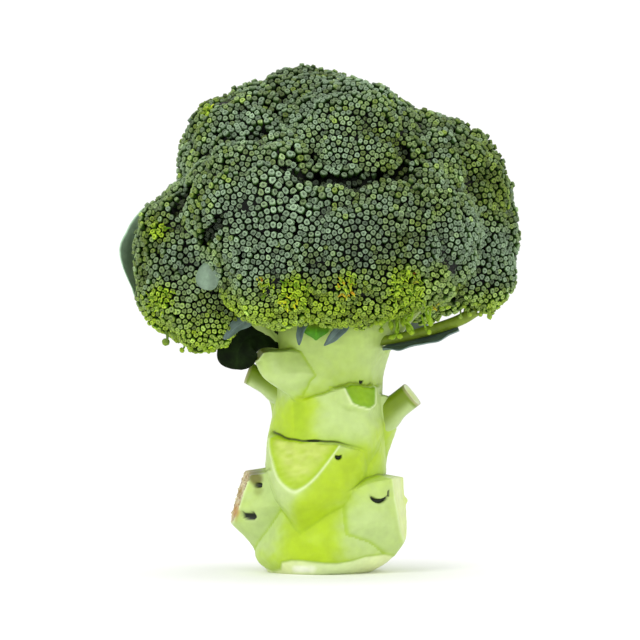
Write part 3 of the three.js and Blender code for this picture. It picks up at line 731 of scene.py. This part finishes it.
# Openings in the leaf axils and cuts, sunk and tinted near black as painted shade: way they face,
# height, half width, half height, how far their ends turn up and how deep they are.
HOLES = [
    (8, 41.2, 1.3, 0.75, 0.5, 1.5), (41, 25.9, 3.0, 0.8, 1.5, 1.8), (47.5, 28.6, 0.4, 1.2, 0, 0.6),
    (-65, 20.2, 2.1, 1.3, 0.9, 2.0), (-58, 31.3, 1.0, 0.9, 0, 1.5), (37, 67.6, 0.9, 0.6, 0.4, 0.8),
    (-14, 47.0, 2.6, 0.35, 0, 0.7), (139, 50.5, 1.4, 0.8, 0.5, 1.5),
    (-150, 27, 2.4, 0.7, 1.2, 1.5),
]

# Small knobs that stand out at the sides: way they face, height, radius and rise.
KNOBS = [(86, 25.6, 1.5, 1.3), (-84, 28.2, 1.6, 0.9), (-84, 21.5, 1.8, 1.0), (-80, 24.6, 1.1, 0.6)]

# Heights between which the skin has fine edges.
EDGE_BANDS = [(2.5, 8), (23, 37), (40, 50), (60, 69), (74, 81)]

# The trimmed edge of the cut: angle and height.
TRIM_EDGE = np.array([
    (-180, 5.0), (-130, 5.8), (-90, 3.0), (-60, 0.8), (-46, 1.8), (-41, 4.4), (-30, 5.3), (-18, 5.3),
    (0, 4.5), (10, 4.4), (23, 5.2), (35, 6.6), (56, 7.0), (75, 5.4), (120, 4.4), (180, 5.0),
])

# Stubs of leaf stalks: the way each faces, its height, width, thickness, reach and rise, and how its
# cut is turned sideways and tipped.
STUBS = [
    (84, 59, 13, 9.2, 7.2, 38, -6, 0),
    (-90, 67.4, 13, 7.8, 7.8, 30, 0, 10),
    (-150, 63, 15, 8, 9, 32, 6, -8),
]


def profile(z, column):
    """The stalk's radius (column 1) or sideways offset (2) at heights, by a curve through the rows."""
    rows, values = PROFILE[:, 0], PROFILE[:, column]
    slopes = np.gradient(values, rows)
    k = np.clip(np.searchsorted(rows, z, side="right") - 1, 0, len(rows) - 2)
    span = rows[k + 1] - rows[k]
    t = np.clip((z - rows[k]) / span, 0, 1)
    a = (1 + 2 * t) * (1 - t) ** 2 * values[k] + t * (1 - t) ** 2 * span * slopes[k]
    return a + t * t * (3 - 2 * t) * values[k + 1] + t * t * (t - 1) * span * slopes[k + 1]


def turned(degrees, face):
    """How many degrees to the right of face, from -180 to 180."""
    return (degrees - face + 180) % 360 - 180


def add_scale(scale, degrees, z, body, radius, marks, edges):
    """The stalk's radius once a scale stands in front of it; marks and edges are set as well."""
    face, skew, edge, sink, arch, width, foot, swell, stand, left, look, turn, keel, kind = scale
    off = turned(degrees - skew * (edge - z) / foot, face)
    half = np.degrees(width / 2 / body)
    share = off / half
    wobble = 0.6 * np.sin(5 * share + 5.6 + 0.05 * (face + 28)) + 0.12 * np.sin(19 * share)
    below = edge - sink * share - arch * np.minimum(share ** 2, 2) + wobble - z
    taper = np.clip(SCALE_POINT * (1 - below / foot), 0, 1)
    q = np.abs(off) / np.maximum(half * taper, 1e-6)
    inside = (below < foot) & (below > -LEDGE) & (q < 1)
    rounded = (1 - np.minimum(q, 1) ** keel) ** (1.7 if kind == "none" else 1.25)
    swollen = stand * smooth((foot - below) / swell) * rounded
    plane = profile(np.array(float(edge)), 1) + left
    cut = plane + (edge - z) * math.tan(math.radians(look))
    cut = np.maximum(0, cut / np.cos(np.radians(off - turn)) - body)
    drop = np.where(below < 0, 1 + below / LEDGE, 1)
    height = np.where(inside, np.minimum(swollen, cut) * drop, 0)
    ahead = inside & (body + height > radius)
    radius = np.where(ahead, body + height, radius)
    for values in marks.values():
        values[ahead] = 0
    marks["raised"][ahead] = smooth(height[ahead] / 2.2)
    # The skirt: a line at each scale's foot, later tinted a saturated green with painted shade in the
    # crease.
    marks["skirt"][ahead] = np.exp(-((height[ahead] - 0.2) / 0.5) ** 2)
    gone = np.where(below > -0.3, swollen - cut, -1)
    if kind != "none":
        marks[kind][ahead] = smooth(gone[ahead] / 0.4)
        marks["depth"][ahead] = smooth(gone[ahead] / (0.45 * stand))
        marks["rim"][ahead] = np.exp(-(gone[ahead] / 0.4) ** 2)
    near = smooth(4 * (1 - np.abs(share))) * smooth(stand / 5)
    line = np.exp(-((below + LEDGE + 0.2) / 0.36) ** 2) * near
    dark = smooth(0.5 + 0.9 * np.sin(2.3 * share + edge)) if kind == "yellow" else 0.2
    edges["ledge"] = np.maximum(edges["ledge"], line * (0.25 + 0.75 * dark))
    # Above each scale's edge: the recess, later tinted a saturated green with painted shade, fading
    # upward.
    above = np.exp(-np.maximum(0, -below - LEDGE) / 2.4) * (below < -0.6 * LEDGE) * near
    edges["axil"] = np.maximum(edges["axil"], above)
    return radius


def stalk_shape(degrees, z):
    """The stalk's radius and its marks: fields that say where scales, cuts and edges are."""
    a = np.radians(degrees)
    ribs = 0.018 * np.cos(5 * a + 0.05 * z) + 0.012 * np.cos(3 * a - 0.05 * z)
    body = profile(z, 1) * (1 + ribs)
    radius = body.copy()
    marks = {name: np.zeros_like(body) for name in ("raised", "skirt", "rim", "depth")}
    marks.update({name: np.zeros_like(body) for name in CUTS})
    edges = {name: np.zeros_like(body) for name in ("ledge", "axil")}
    for scale in SCALES:
        radius = add_scale(scale, degrees, z, body, radius, marks, edges)
    marks.update(edges)
    marks["hole"] = np.zeros_like(body)
    pit = np.zeros_like(body)
    for face, height, half_width, half_height, curl, deep in HOLES:
        s = np.radians(turned(degrees, face)) * radius / half_width
        t = (z - height - curl * s * s) / half_height
        hole = np.exp(-np.minimum(s ** 4 + t ** 4, 30))
        marks["hole"] = np.maximum(marks["hole"], hole)
        pit = np.maximum(pit, deep * hole)
    for face, height, knob_radius, rise in KNOBS:
        along = np.radians(turned(degrees, face)) * radius
        radius = radius + rise * np.exp(-(along ** 2 + (z - height) ** 2) / knob_radius ** 2)
    trim = np.interp(degrees, TRIM_EDGE[:, 0], TRIM_EDGE[:, 1])
    marks["trim"] = smooth((trim + 0.35 - z) / 0.7)
    marks["trim_line"] = np.exp(-((z - trim) / 0.5) ** 2)
    radius = radius - 0.45 * marks["ledge"] - pit - 0.5 * marks["trim"] * smooth(z) + 0.12 * marks["rim"]
    return radius, marks


# Where the stalk's skin is paler (1) or yellower (-1) at the front: x, z, radius and which.
TONES = [
    (-16, 32, 8, 1), (2.5, 33, 8, -1), (8, 38.5, 6, -0.8), (-5, 23, 8, -1), (14.5, 15, 10, 1),
    (-22.5, 15, 8, 1), (-6.5, 10, 11, -1), (-13, 67.5, 8, 1), (6, 53, 12, 0.7), (-13, 53, 9, -1),
    (18, 76, 7, 0.9), (20, 50, 4, -0.7), (14, 41, 5, -1), (2, 76, 10, 0.1), (-7, 60, 5, -0.8),
    (-24, 44, 5, 0.5), (20, 60, 5, 0.6), (-12, 80, 5, -0.3), (9, 85, 6, -0.6),
]
PALE_GREEN = rgb(0.47, 0.61, 0.22)
YELLOW_GREEN = rgb(0.4, 0.57, 0.004)
STEM_TOP = rgb(0.46, 0.62, 0.155)
OLIVE_GREEN = rgb(0.17, 0.26, 0.002)
SKIRT = rgb(0.33, 0.5, 0.006)
RIM = rgb(0.7, 0.82, 0.42)
TRIM = rgb(0.74, 0.82, 0.4)
SHADOW = rgb(0.06, 0.09, 0.004)
HOLE_SHADE = rgb(0.006, 0.012, 0.002)
DRIED = rgb(0.3, 0.2, 0.07)
FIBRE = rgb(0.62, 0.55, 0.3)
# Each kind of cut has a colour at its edge and one in its middle.
CUTS = {
    "yellow": (rgb(0.36, 0.54, 0.0), rgb(0.52, 0.63, 0.12)),
    "fresh": (rgb(0.18, 0.36, 0.0), rgb(0.25, 0.45, 0.0)),
    "pale": (rgb(0.6, 0.72, 0.2), rgb(0.66, 0.76, 0.34)),
    "dried": (DRIED, FIBRE),
    "aged": (rgb(0.16, 0.19, 0.01), rgb(0.4, 0.44, 0.06)),
}

# Stains on the stalk at the front, and a painted highlight on the pale cut flesh near the foot: x, z,
# half width, half height, strength and colour.
STAINS_AND_HIGHLIGHT = [
    (-25.0, 34.2, 2.6, 3.2, 0.9, (0.13, 0.12, 0.012)), (-24.0, 29.5, 1.8, 2.5, 0.5, (0.2, 0.24, 0.02)),
    (-32.0, 21.5, 1.2, 3.0, 0.8, (0.45, 0.22, 0.02)), (-31.0, 29.0, 0.9, 1.5, 0.6, (0.3, 0.2, 0.03)),
    (9.5, 37.5, 4.0, 1.6, 0.5, (0.36, 0.52, 0.003)), (-8.5, 61.8, 3.0, 1.3, 0.5, (0.4, 0.55, 0.003)),
    # The near-white spot near the foot: pale cut flesh with a painted highlight.
    (-7.5, 2.2, 3.6, 1.6, 0.9, (0.95, 0.97, 0.85)), (-5.5, 10.0, 9.0, 5.0, 0.4, (0.4, 0.58, 0.0)),
]


def tube(pile, path, radii, tints, sides):
    """A round rod along path, with flat ends."""
    path = np.asarray(path, float)
    tangents = unit(np.gradient(path, axis=0))
    x, y = across(tangents)
    for k in range(1, len(path)):
        x[k] = unit(x[k - 1] - tangents[k] * (x[k - 1] @ tangents[k]))
        y[k] = np.cross(tangents[k], x[k])
    a = np.linspace(0, 2 * math.pi, sides, endpoint=False)
    ring = np.cos(a)[None, :, None] * x[:, None, :] + np.sin(a)[None, :, None] * y[:, None, :]
    points = path[:, None, :] + ring * np.asarray(radii, float)[:, None, None]
    tints = np.broadcast_to(tints, (len(path), 3))
    colours = np.concatenate([np.repeat(tints, sides, 0), tints[[0, -1]]])
    points = np.concatenate([points.reshape(-1, 3), path[[0, -1]]])
    pile.add(points, closed_rings(len(path), sides), colours)


def stalk_tint(points, degrees, z, marks):
    patches = waves(points, 26, 9)
    fine = waves(points, 5, 12)
    front = smooth((4 - points[..., 1]) / 8)
    tone = 0.6 * patches * (1 - front) + 0.25 * (marks["raised"] - 0.5)
    for x, height, radius, value in TONES:
        away = np.hypot(points[..., 0] - x, points[..., 2] - height) / radius
        tone = tone + value * front * np.exp(-away ** 2)
    tone = 0.5 + 0.5 * np.tanh(2.0 * tone + 0.25 * fine)
    tint = mix(YELLOW_GREEN, PALE_GREEN, tone)
    tint = mix(tint, mix(STEM_TOP, PALE_GREEN, 0.6 * (tone - 0.4)), smooth((z - 64) / 16))
    # Painted shade with a saturated green: along each scale's foot and in the recess above each edge.
    tint = mix(tint, SKIRT, 0.7 * marks["skirt"])
    tint = mix(tint, SKIRT, 0.75 * marks["axil"])
    grain = smooth(0.5 + 0.35 * fine + 0.5 * waves(points * [1, 1, 0.2], 1.6, 3))
    for kind, (edge, middle) in CUTS.items():
        blend = grain if kind == "dried" else np.clip(marks["depth"] * (0.9 + 0.2 * fine), 0, 1)
        tint = mix(tint, mix(edge, middle, blend), marks[kind])
    tint = mix(tint, RIM, 0.75 * marks["rim"])
    lighter = 0.5 + 0.5 * np.sin(np.radians(degrees) * 3 + 1)
    tint = mix(tint, mix(TRIM, RIM, lighter), marks["trim"])
    tint = mix(tint, SKIRT, 0.6 * marks["trim_line"])
    for x, height, half_width, half_height, strength, colour in STAINS_AND_HIGHLIGHT:
        away = np.hypot((points[..., 0] - x) / half_width, (points[..., 2] - height) / half_height)
        spread = strength * smooth(1.4 - away + 0.2 * fine) * (points[..., 1] < 2)
        tint = mix(tint, np.array(colour), spread)
    tint = mix(tint, SHADOW, smooth(1.3 * marks["ledge"]))
    # Painted shade: the holes are tinted near black.
    return mix(tint, HOLE_SHADE, smooth(2.6 * marks["hole"] - 0.6))


# The skin's points: the half turn that is fine at the front, columns there and behind, and steps up.
FRONT_TURN = 105
FRONT_COLUMNS = 260
BACK_COLUMNS = 66
FINE_STEP = 0.24
COARSE_STEP = 0.62


def stalk_piece():
    pile = Pile()
    turns = np.concatenate([np.linspace(-FRONT_TURN, FRONT_TURN, FRONT_COLUMNS, endpoint=False),
                            np.linspace(FRONT_TURN, 360 - FRONT_TURN, BACK_COLUMNS, endpoint=False)])
    heights = [0.0, 0.6]
    while heights[-1] < PROFILE[-1, 0]:
        at_edge = any(low < heights[-1] < high for low, high in EDGE_BANDS)
        heights.append(heights[-1] + (FINE_STEP if at_edge else COARSE_STEP))
    degrees, z = np.meshgrid(turned(turns, 0), heights)
    radius, marks = stalk_shape(degrees, z)
    a = np.radians(degrees)
    flat = np.stack([radius * np.sin(a) + profile(z, 2), -radius * np.cos(a), z], -1)
    radius = radius + (0.22 * waves(flat, 16, 4) + 0.05 * waves(flat, 3, 6)) * smooth(z / 4)
    torn = waves(flat, 1.4, 8) * marks["dried"]
    radius = radius + 0.3 * torn
    points = np.stack([radius * np.sin(a) + profile(z, 2), -radius * np.cos(a), z], -1)
    tint = stalk_tint(points, degrees, z, marks)
    ends = np.array([[PROFILE[0, 2], 0, 0], [PROFILE[-1, 2], 0, PROFILE[-1, 0]]])
    pile.add(np.concatenate([points.reshape(-1, 3), ends]), closed_rings(*z.shape),
             np.concatenate([tint.reshape(-1, 3), [TRIM, STEM_TOP]]))
    for stub in STUBS:
        add_stub(pile, *stub)
    for i in range(len(FLORETS)):
        add_branch(pile, Floret(i), FLORETS[i][3])
    pile.piece("stalk_skin", STALK_LOOK, "stalk", "stalk")


STUB_SINK = 9  # how far a stub's rod runs into the stalk
STUB_RINGS = 14
STUB_SIDES = 48
SLANTED_RINGS = 4  # rings by which a stub's square section turns into its cut
STUB_TAPER = (0.16, 14)  # the share of its width lost, over its reach and so much more


def squared(c):
    """A cosine or sine that makes a ring between round and square."""
    return np.sign(c) * np.abs(c) ** 0.7


def add_stub(pile, face, height, width, thick, reach, rise, turn, tip):
    a = math.radians(face)
    out = np.array([math.sin(a), -math.cos(a), 0])
    side = np.cross(out, [0, 0, 1])
    climb = math.radians(rise)
    along = out * math.cos(climb) + np.array([0, 0, math.sin(climb)])
    outer = np.cross(side, along)
    foot = out * stalk_shape(np.array([float(face)]), np.array([float(height)]))[0][0]
    foot = foot + [profile(np.array(float(height)), 2), 0, height]
    # The cut's normal, turned sideways and tipped.
    cut = math.cos(math.radians(tip)) * along - math.sin(math.radians(tip)) * outer
    cut = unit(cut + math.sin(math.radians(turn)) * np.array([math.cos(a), math.sin(a), 0]))
    angles = np.linspace(0, 2 * math.pi, STUB_SIDES, endpoint=False)
    rings = []
    for s in np.linspace(-STUB_SINK, reach, STUB_RINGS):
        narrow = 1 - STUB_TAPER[0] * (s + STUB_SINK) / (reach + STUB_TAPER[1])
        widen = 1 + 0.3 * smooth((1 - s) / 6)
        rings.append(foot + along * s
                     - side * (squared(np.cos(angles)) * width / 2 * narrow)[:, None]
                     + outer * (squared(np.sin(angles)) * thick / 2 * widen)[:, None])
    at = foot + along * reach
    slide = ((at - rings[-1]) @ cut) / (along @ cut)
    for k in range(1, SLANTED_RINGS + 1):
        ring = STUB_RINGS - 1 - SLANTED_RINGS + k
        rings[ring] = rings[ring] + along * (slide * k / SLANTED_RINGS)[:, None]
    rings += [at + (rings[-1] - at) * 0.86, at + (rings[-1] - at) * 0.4 - cut * 0.5]

    walls, index = ring_walls(len(rings), STUB_SIDES)
    middle = index.size
    share = np.linspace(0, 1, len(rings))
    tint = mix(YELLOW_GREEN * 0.6, OLIVE_GREEN, smooth(1.8 * share))
    tint[-3] = 0.5 * DRIED + 0.4 * RIM
    tint[-2] = RIM
    tint[-1] = CUTS["pale"][0]
    colours = np.repeat(tint[:, None], STUB_SIDES, 1)
    under = smooth(0.1 - 1.2 * np.sin(angles))[None, :, None] * (share < 0.8)[:, None, None]
    colours = colours * (1 - under) + PALE_GREEN * 0.9 * under
    colours = np.concatenate([colours.reshape(-1, 3), [CUTS["pale"][0]]])
    pile.add(np.concatenate(rings + [[at - cut * 0.6]]), [walls, fan(index[-1], middle)], colours)


BRANCH_RINGS = 14
ROD_SIDES = 16


def add_branch(pile, floret, fork):
    """A floret's branch, curved out of the stalk's middle past its fork and into the neck."""
    end = floret.neck + floret.axis * 2
    sideways = np.array([end[0], end[1], 0])
    start = 0.25 * sideways + [0, 0, FORK[2] - 14]
    length = np.linalg.norm(sideways)
    bend = np.array(fork, float) + sideways / max(length, 1e-6) * min(12, 0.4 * length)
    bend[2] = max(bend[2] + 6, end[2] - 12)
    t = np.linspace(0, 1, BRANCH_RINGS)[:, None]
    path = (1 - t) ** 2 * start + 2 * t * (1 - t) * bend + t * t * end
    radii = floret.radius * (0.3 - 0.1 * t[:, 0])
    # Painted shade: each branch darkens towards the crown above it.
    tube(pile, path, radii, mix(STEM_TOP, STEM_TOP * 0.55, t[:, 0]), ROD_SIDES)


# Blades of the leaves: leaf, spine, half widths, the way it faces, cup, wave and colour, and where
# they differ from the others' how strong its veins are and its colour at the root.
GLAUCOUS = rgb(0.14, 0.205, 0.14)
# A leaf's dark green tinted near black as painted shade on its shadowed underside.
SHADED_LEAF = rgb(0.006, 0.014, 0.002)
RIM_LEAF = rgb(0.11, 0.165, 0.15)
FRESH_LEAF = rgb(0.08, 0.3, 0.006)
OLIVE_LEAF = rgb(0.2, 0.27, 0.02)
LEAVES = [
    # Painted light: this leaf is tinted twice as light as the glaucous green to make up for the shade it
    # stands in.
    ("leaf_left",
     [(-14, 11, 84), (-34, 15, 84.5), (-56, 12, 92), (-68, 7, 104), (-70, 3, 114), (-64.5, 4, 126),
      (-57, 6, 135)],
     [4, 5, 6, 7.5, 9, 9.8, 9.2, 10.4, 10.6, 7, 6.2, 5, 3.5], (0.93, -0.36, 0.3), 0, 0.9, 2.0 * GLAUCOUS),
    ("leaf_front_left",
     [(-34, -33, 115), (-37.5, -37.5, 110.5), (-40.5, -39.5, 105), (-42.5, -38.5, 99.6)],
     [1.2, 2.6, 4.3, 4.5], (-0.25, -0.9, 0.2), -0.15, 0, 1.2 * GLAUCOUS, 0.2),
    ("leaf_dark_left",
     [(-15, -9, 82), (-22, -12, 84.6), (-28.5, -13, 83), (-31.2, -13.5, 79), (-31.8, -13, 72.2)],
     [3, 5, 6.4, 7.2, 7.6], (0.1, -1, 0.25), 0.12, 0.5, SHADED_LEAF),
    ("leaf_left_low",
     [(-14, -13, 91), (-20, -19, 91.5), (-26.5, -23.5, 89.8), (-31.5, -27, 87), (-35.5, -30, 82.6)],
     [2, 2.6, 3, 2.6, 1.4], (0.1, -0.9, -0.5), -0.2, 0.4, RIM_LEAF),
    ("leaf_front",
     [(-3, -17.5, 91), (-3.4, -24, 88.5), (-3.6, -25.5, 85.5), (-3.6, -25.5, 82.2)],
     [6, 6.5, 4.4, 1], (0, -1, 0.1), -0.1, 0, FRESH_LEAF, 1.0, OLIVE_LEAF),
    ("leaf_front",
     [(-6, -20.5, 91), (-8, -24.5, 88), (-9.2, -26, 84.5), (-9.5, -26, 80.5)],
     [2.2, 1.7, 1.3, 0.7], (-0.3, -1, 0), 0.1, 0, RIM_LEAF),
    ("leaf_front",
     [(2, -20.5, 92), (6, -24.5, 88), (3, -26.8, 84), (-0.8, -26.8, 80.3)],
     [2.4, 2.2, 1.8, 0.7], (0.2, -1, 0), 0.1, 0, RIM_LEAF),
    ("leaf_right",
     [(20, -13, 79.6), (26, -13.4, 80.4), (34, -14, 82), (42, -14, 84.6), (47, -14, 86.4)],
     [2.5, 5, 6, 5.5, 4], (-0.2, -0.3, 1), 0.1, 0.5, RIM_LEAF),
    ("leaf_back_right",
     [(7, 13, 80), (20, 34, 82.5), (29, 50, 88), (34, 60, 97), (36, 65, 108)],
     [4, 8, 11, 10, 5], (-0.4, -0.7, 1), 0.12, 0.9, GLAUCOUS),
    ("leaf_back_left",
     [(-8, 13, 80), (-19, 34, 82), (-27, 49, 86.5), (-32, 60, 94), (-34, 66, 104)],
     [4, 7, 10, 9.5, 4.5], (0.4, -0.7, 1), 0.12, 0.9, GLAUCOUS),
]
BLADE_THICKNESS = 0.8
BLADE_STEPS = 60
BLADE_LANES = 24
VEINS = 5  # side veins on each half of a blade

# The thick stalk of the leaf on the right.
LEAF_ROD = [(14, -11, 81.5), (26, -12, 83.5), (38, -13, 86.5), (48, -13.5, 90), (53, -13.5, 93.2)]
LEAF_ROD_RINGS = 24
LEAF_ROD_RADII = (1.6, 2.2)
LEAF_ROD_TINT = rgb(0.17, 0.25, 0.015)


def along_curve(points, t):
    """Places on a smooth curve through points, at shares t of the way, counted by points."""
    points = np.asarray(points, float)
    first = 2 * points[0] - points[1]
    last = 2 * points[-1] - points[-2]
    padded = np.concatenate([[first], points, [last]])
    at = np.clip(np.asarray(t) * (len(points) - 1), 0, len(points) - 1 - 1e-9)
    k = at.astype(int)
    u = (at - k)[:, None]
    p0, p1, p2, p3 = (padded[k + n] for n in range(4))
    d0, d1, d2 = (np.sqrt(np.linalg.norm(b - a, axis=1, keepdims=True))
                  for a, b in ((p0, p1), (p1, p2), (p2, p3)))
    m1 = ((p1 - p0) / d0 - (p2 - p0) / (d0 + d1) + (p2 - p1) / d1) * d1
    m2 = ((p2 - p1) / d1 - (p3 - p1) / (d1 + d2) + (p3 - p2) / d2) * d1
    return ((2 * u ** 3 - 3 * u ** 2 + 1) * p1 + (u ** 3 - 2 * u ** 2 + u) * m1
            + (-2 * u ** 3 + 3 * u ** 2) * p2 + (u ** 3 - u ** 2) * m2)


def blade_widths(half, t):
    """Half widths at shares t of the way: between those given, with a rounded tip."""
    at = t * (len(half) - 1)
    low = np.minimum(at.astype(int), len(half) - 2)
    values = np.array(half, float)
    width = values[low] + (values[low + 1] - values[low]) * smooth(at - low)
    return width * np.sqrt(np.clip(1 - (np.maximum(0, t - 0.8) / 0.205) ** 2, 0, 1))


def blade_faces():
    """Quads of a blade's two sides and of the rim between them."""
    columns = BLADE_LANES + 1
    layer = (BLADE_STEPS + 1) * columns
    index = np.arange(layer).reshape(BLADE_STEPS + 1, columns)
    up = np.stack([index[:-1, :-1], index[:-1, 1:], index[1:, 1:], index[1:, :-1]], -1)
    up = up.reshape(-1, 4)
    rim = np.concatenate([index[0, :-1], index[:-1, -1], index[-1, :0:-1], index[:0:-1, 0]])
    nxt = np.roll(rim, -1)
    wall = np.stack([nxt, rim, rim + layer, nxt + layer], -1)
    return [up, up[:, ::-1] + layer, wall]


def add_blade(pile, spine, half, faces, cup, wave, tint, veins=1.0, root=None):
    t = np.linspace(0, 1, BLADE_STEPS + 1)
    middle = along_curve(spine, t)
    ahead = along_curve(spine, np.minimum(t + 0.002, 1))
    tangent = unit(ahead - along_curve(spine, np.maximum(t - 0.002, 0)))
    side = unit(np.cross(tangent, np.array(faces, float)))
    outer = unit(np.cross(side, tangent))
    width = blade_widths(half, t)
    tt, vv = np.meshgrid(t, np.linspace(-1, 1, BLADE_LANES + 1), indexing="ij")
    ruffle = wave * np.sin(2.5 * 2 * math.pi * tt + vv) + 0.25 * wave * np.sin(31 * tt + 3 * vv)
    vein = veins * np.exp(-(vv / 0.05) ** 2)
    slant = np.abs(np.sin(math.pi * VEINS * (tt - 0.35 * np.abs(vv))))
    branch = veins * np.exp(-(slant / 0.09) ** 2) * (np.abs(vv) > 0.05) * (1 - np.abs(vv))
    lift = (cup * width[:, None] + ruffle) * vv ** 2
    points = (middle[:, None, :] + side[:, None, :] * (vv * width[:, None])[..., None]
              + outer[:, None, :] * lift[..., None])
    thin = BLADE_THICKNESS / 2 * (1 - 0.6 * np.abs(vv) ** 6)
    upper = points + outer[:, None, :] * (thin - 0.12 * vein - 0.08 * branch)[..., None]
    lower = points - outer[:, None, :] * (thin + 0.35 * vein + 0.12 * branch)[..., None]
    shade = 1 + 0.5 * vein + 0.3 * branch + 0.12 * np.sin(9 * tt + 4 * vv)
    edge = smooth((np.abs(vv) - 0.9) / 0.1)
    ground = tint if root is None else mix(root, tint, smooth(2.4 * tt - 0.8))
    colours = ground * shade[..., None] * (1 + 0.5 * edge[..., None])
    both = np.concatenate([upper.reshape(-1, 3), lower.reshape(-1, 3)])
    pile.add(both, blade_faces(), np.tile(colours.reshape(-1, 3), (2, 1)))


def leaf_pieces():
    piles = {}
    for name, *blade in LEAVES:
        add_blade(piles.setdefault(name, Pile()), *blade)
    path = along_curve(LEAF_ROD, np.linspace(0, 1, LEAF_ROD_RINGS))
    radii = np.linspace(*LEAF_ROD_RADII, LEAF_ROD_RINGS)
    tube(piles["leaf_right"], path, radii, LEAF_ROD_TINT, ROD_SIDES)
    for name, pile in piles.items():
        look = SHADED_LEAF_LOOK if name == "leaf_dark_left" else LEAF_LOOK
        pile.piece("skin_" + name, look, "leaf", name)


for i in range(len(FLORETS)):
    floret_piece(i)
stalk_piece()
leaf_pieces()

# Surroundings

VIEW_DISTANCE = 0.9
VIEW_MIDDLE = (-0.0022, 0.0, 0.0902)
VIEW_RISE = math.radians(1.92)
VIEW_WIDTH = 0.2304
FLOOR_COLOUR = (0.96, 0.96, 0.96, 1)
LAMP_TARGET = (0, 0, 0.1)


def backdrop():
    """A pale floor that curves up into a wall far behind."""
    profile_points = [(-2.0, 0.0)]
    far, bend = 1.6, 0.8
    for k in range(25):
        a = math.pi / 2 * k / 24
        profile_points.append((far + bend * math.sin(a), bend * (1 - math.cos(a))))
    profile_points.append((far + bend, 3.0))
    points = [(x, y, z) for y, z in profile_points for x in (-3.0, 3.0)]
    faces = [(2 * k, 2 * k + 1, 2 * k + 3, 2 * k + 2) for k in range(len(profile_points) - 1)]
    mesh = bpy.data.meshes.new("floor")
    mesh.from_pydata(points, [], faces)
    mesh.shade_smooth()
    mesh.materials.append(new_material("floor", {"Base Color": FLOOR_COLOUR, "Roughness": 0.9}))
    add_object("floor", mesh)


def lamp(name, place, size, power):
    light = bpy.data.lights.new(name, "AREA")
    light.shape = "DISK"
    light.size = size
    light.energy = power
    lamp_object = add_object(name, light)
    lamp_object.location = place
    aim = np.array(LAMP_TARGET) - np.array(place)
    flat = math.hypot(aim[0], aim[1])
    lamp_object.rotation_euler = (math.atan2(flat, -aim[2]), 0, math.atan2(aim[1], aim[0]) - math.pi / 2)


backdrop()
lamp("key", (-0.7, -1.1, 1.0), 0.7, 7)
lamp("fill", (0.9, -1.0, 0.5), 0.9, 2)
lamp("top", (0.1, 0.2, 1.3), 0.9, 4)

world = bpy.data.worlds.new("studio")
world.use_nodes = True
set_sockets(world.node_tree.nodes["Background"], {"Color": (1, 1, 1, 1), "Strength": 1.0})
scene = bpy.context.scene
scene.world = world
scene.view_settings.view_transform = "Standard"

camera = add_object("camera", bpy.data.cameras.new("camera"))
camera.data.lens = camera.data.sensor_width * VIEW_DISTANCE / VIEW_WIDTH
camera.location = (
    VIEW_MIDDLE[0],
    -VIEW_DISTANCE * math.cos(VIEW_RISE),
    VIEW_MIDDLE[2] - VIEW_DISTANCE * math.sin(VIEW_RISE),
)
camera.rotation_euler = (math.pi / 2 + VIEW_RISE, 0, 0)
scene.camera = camera
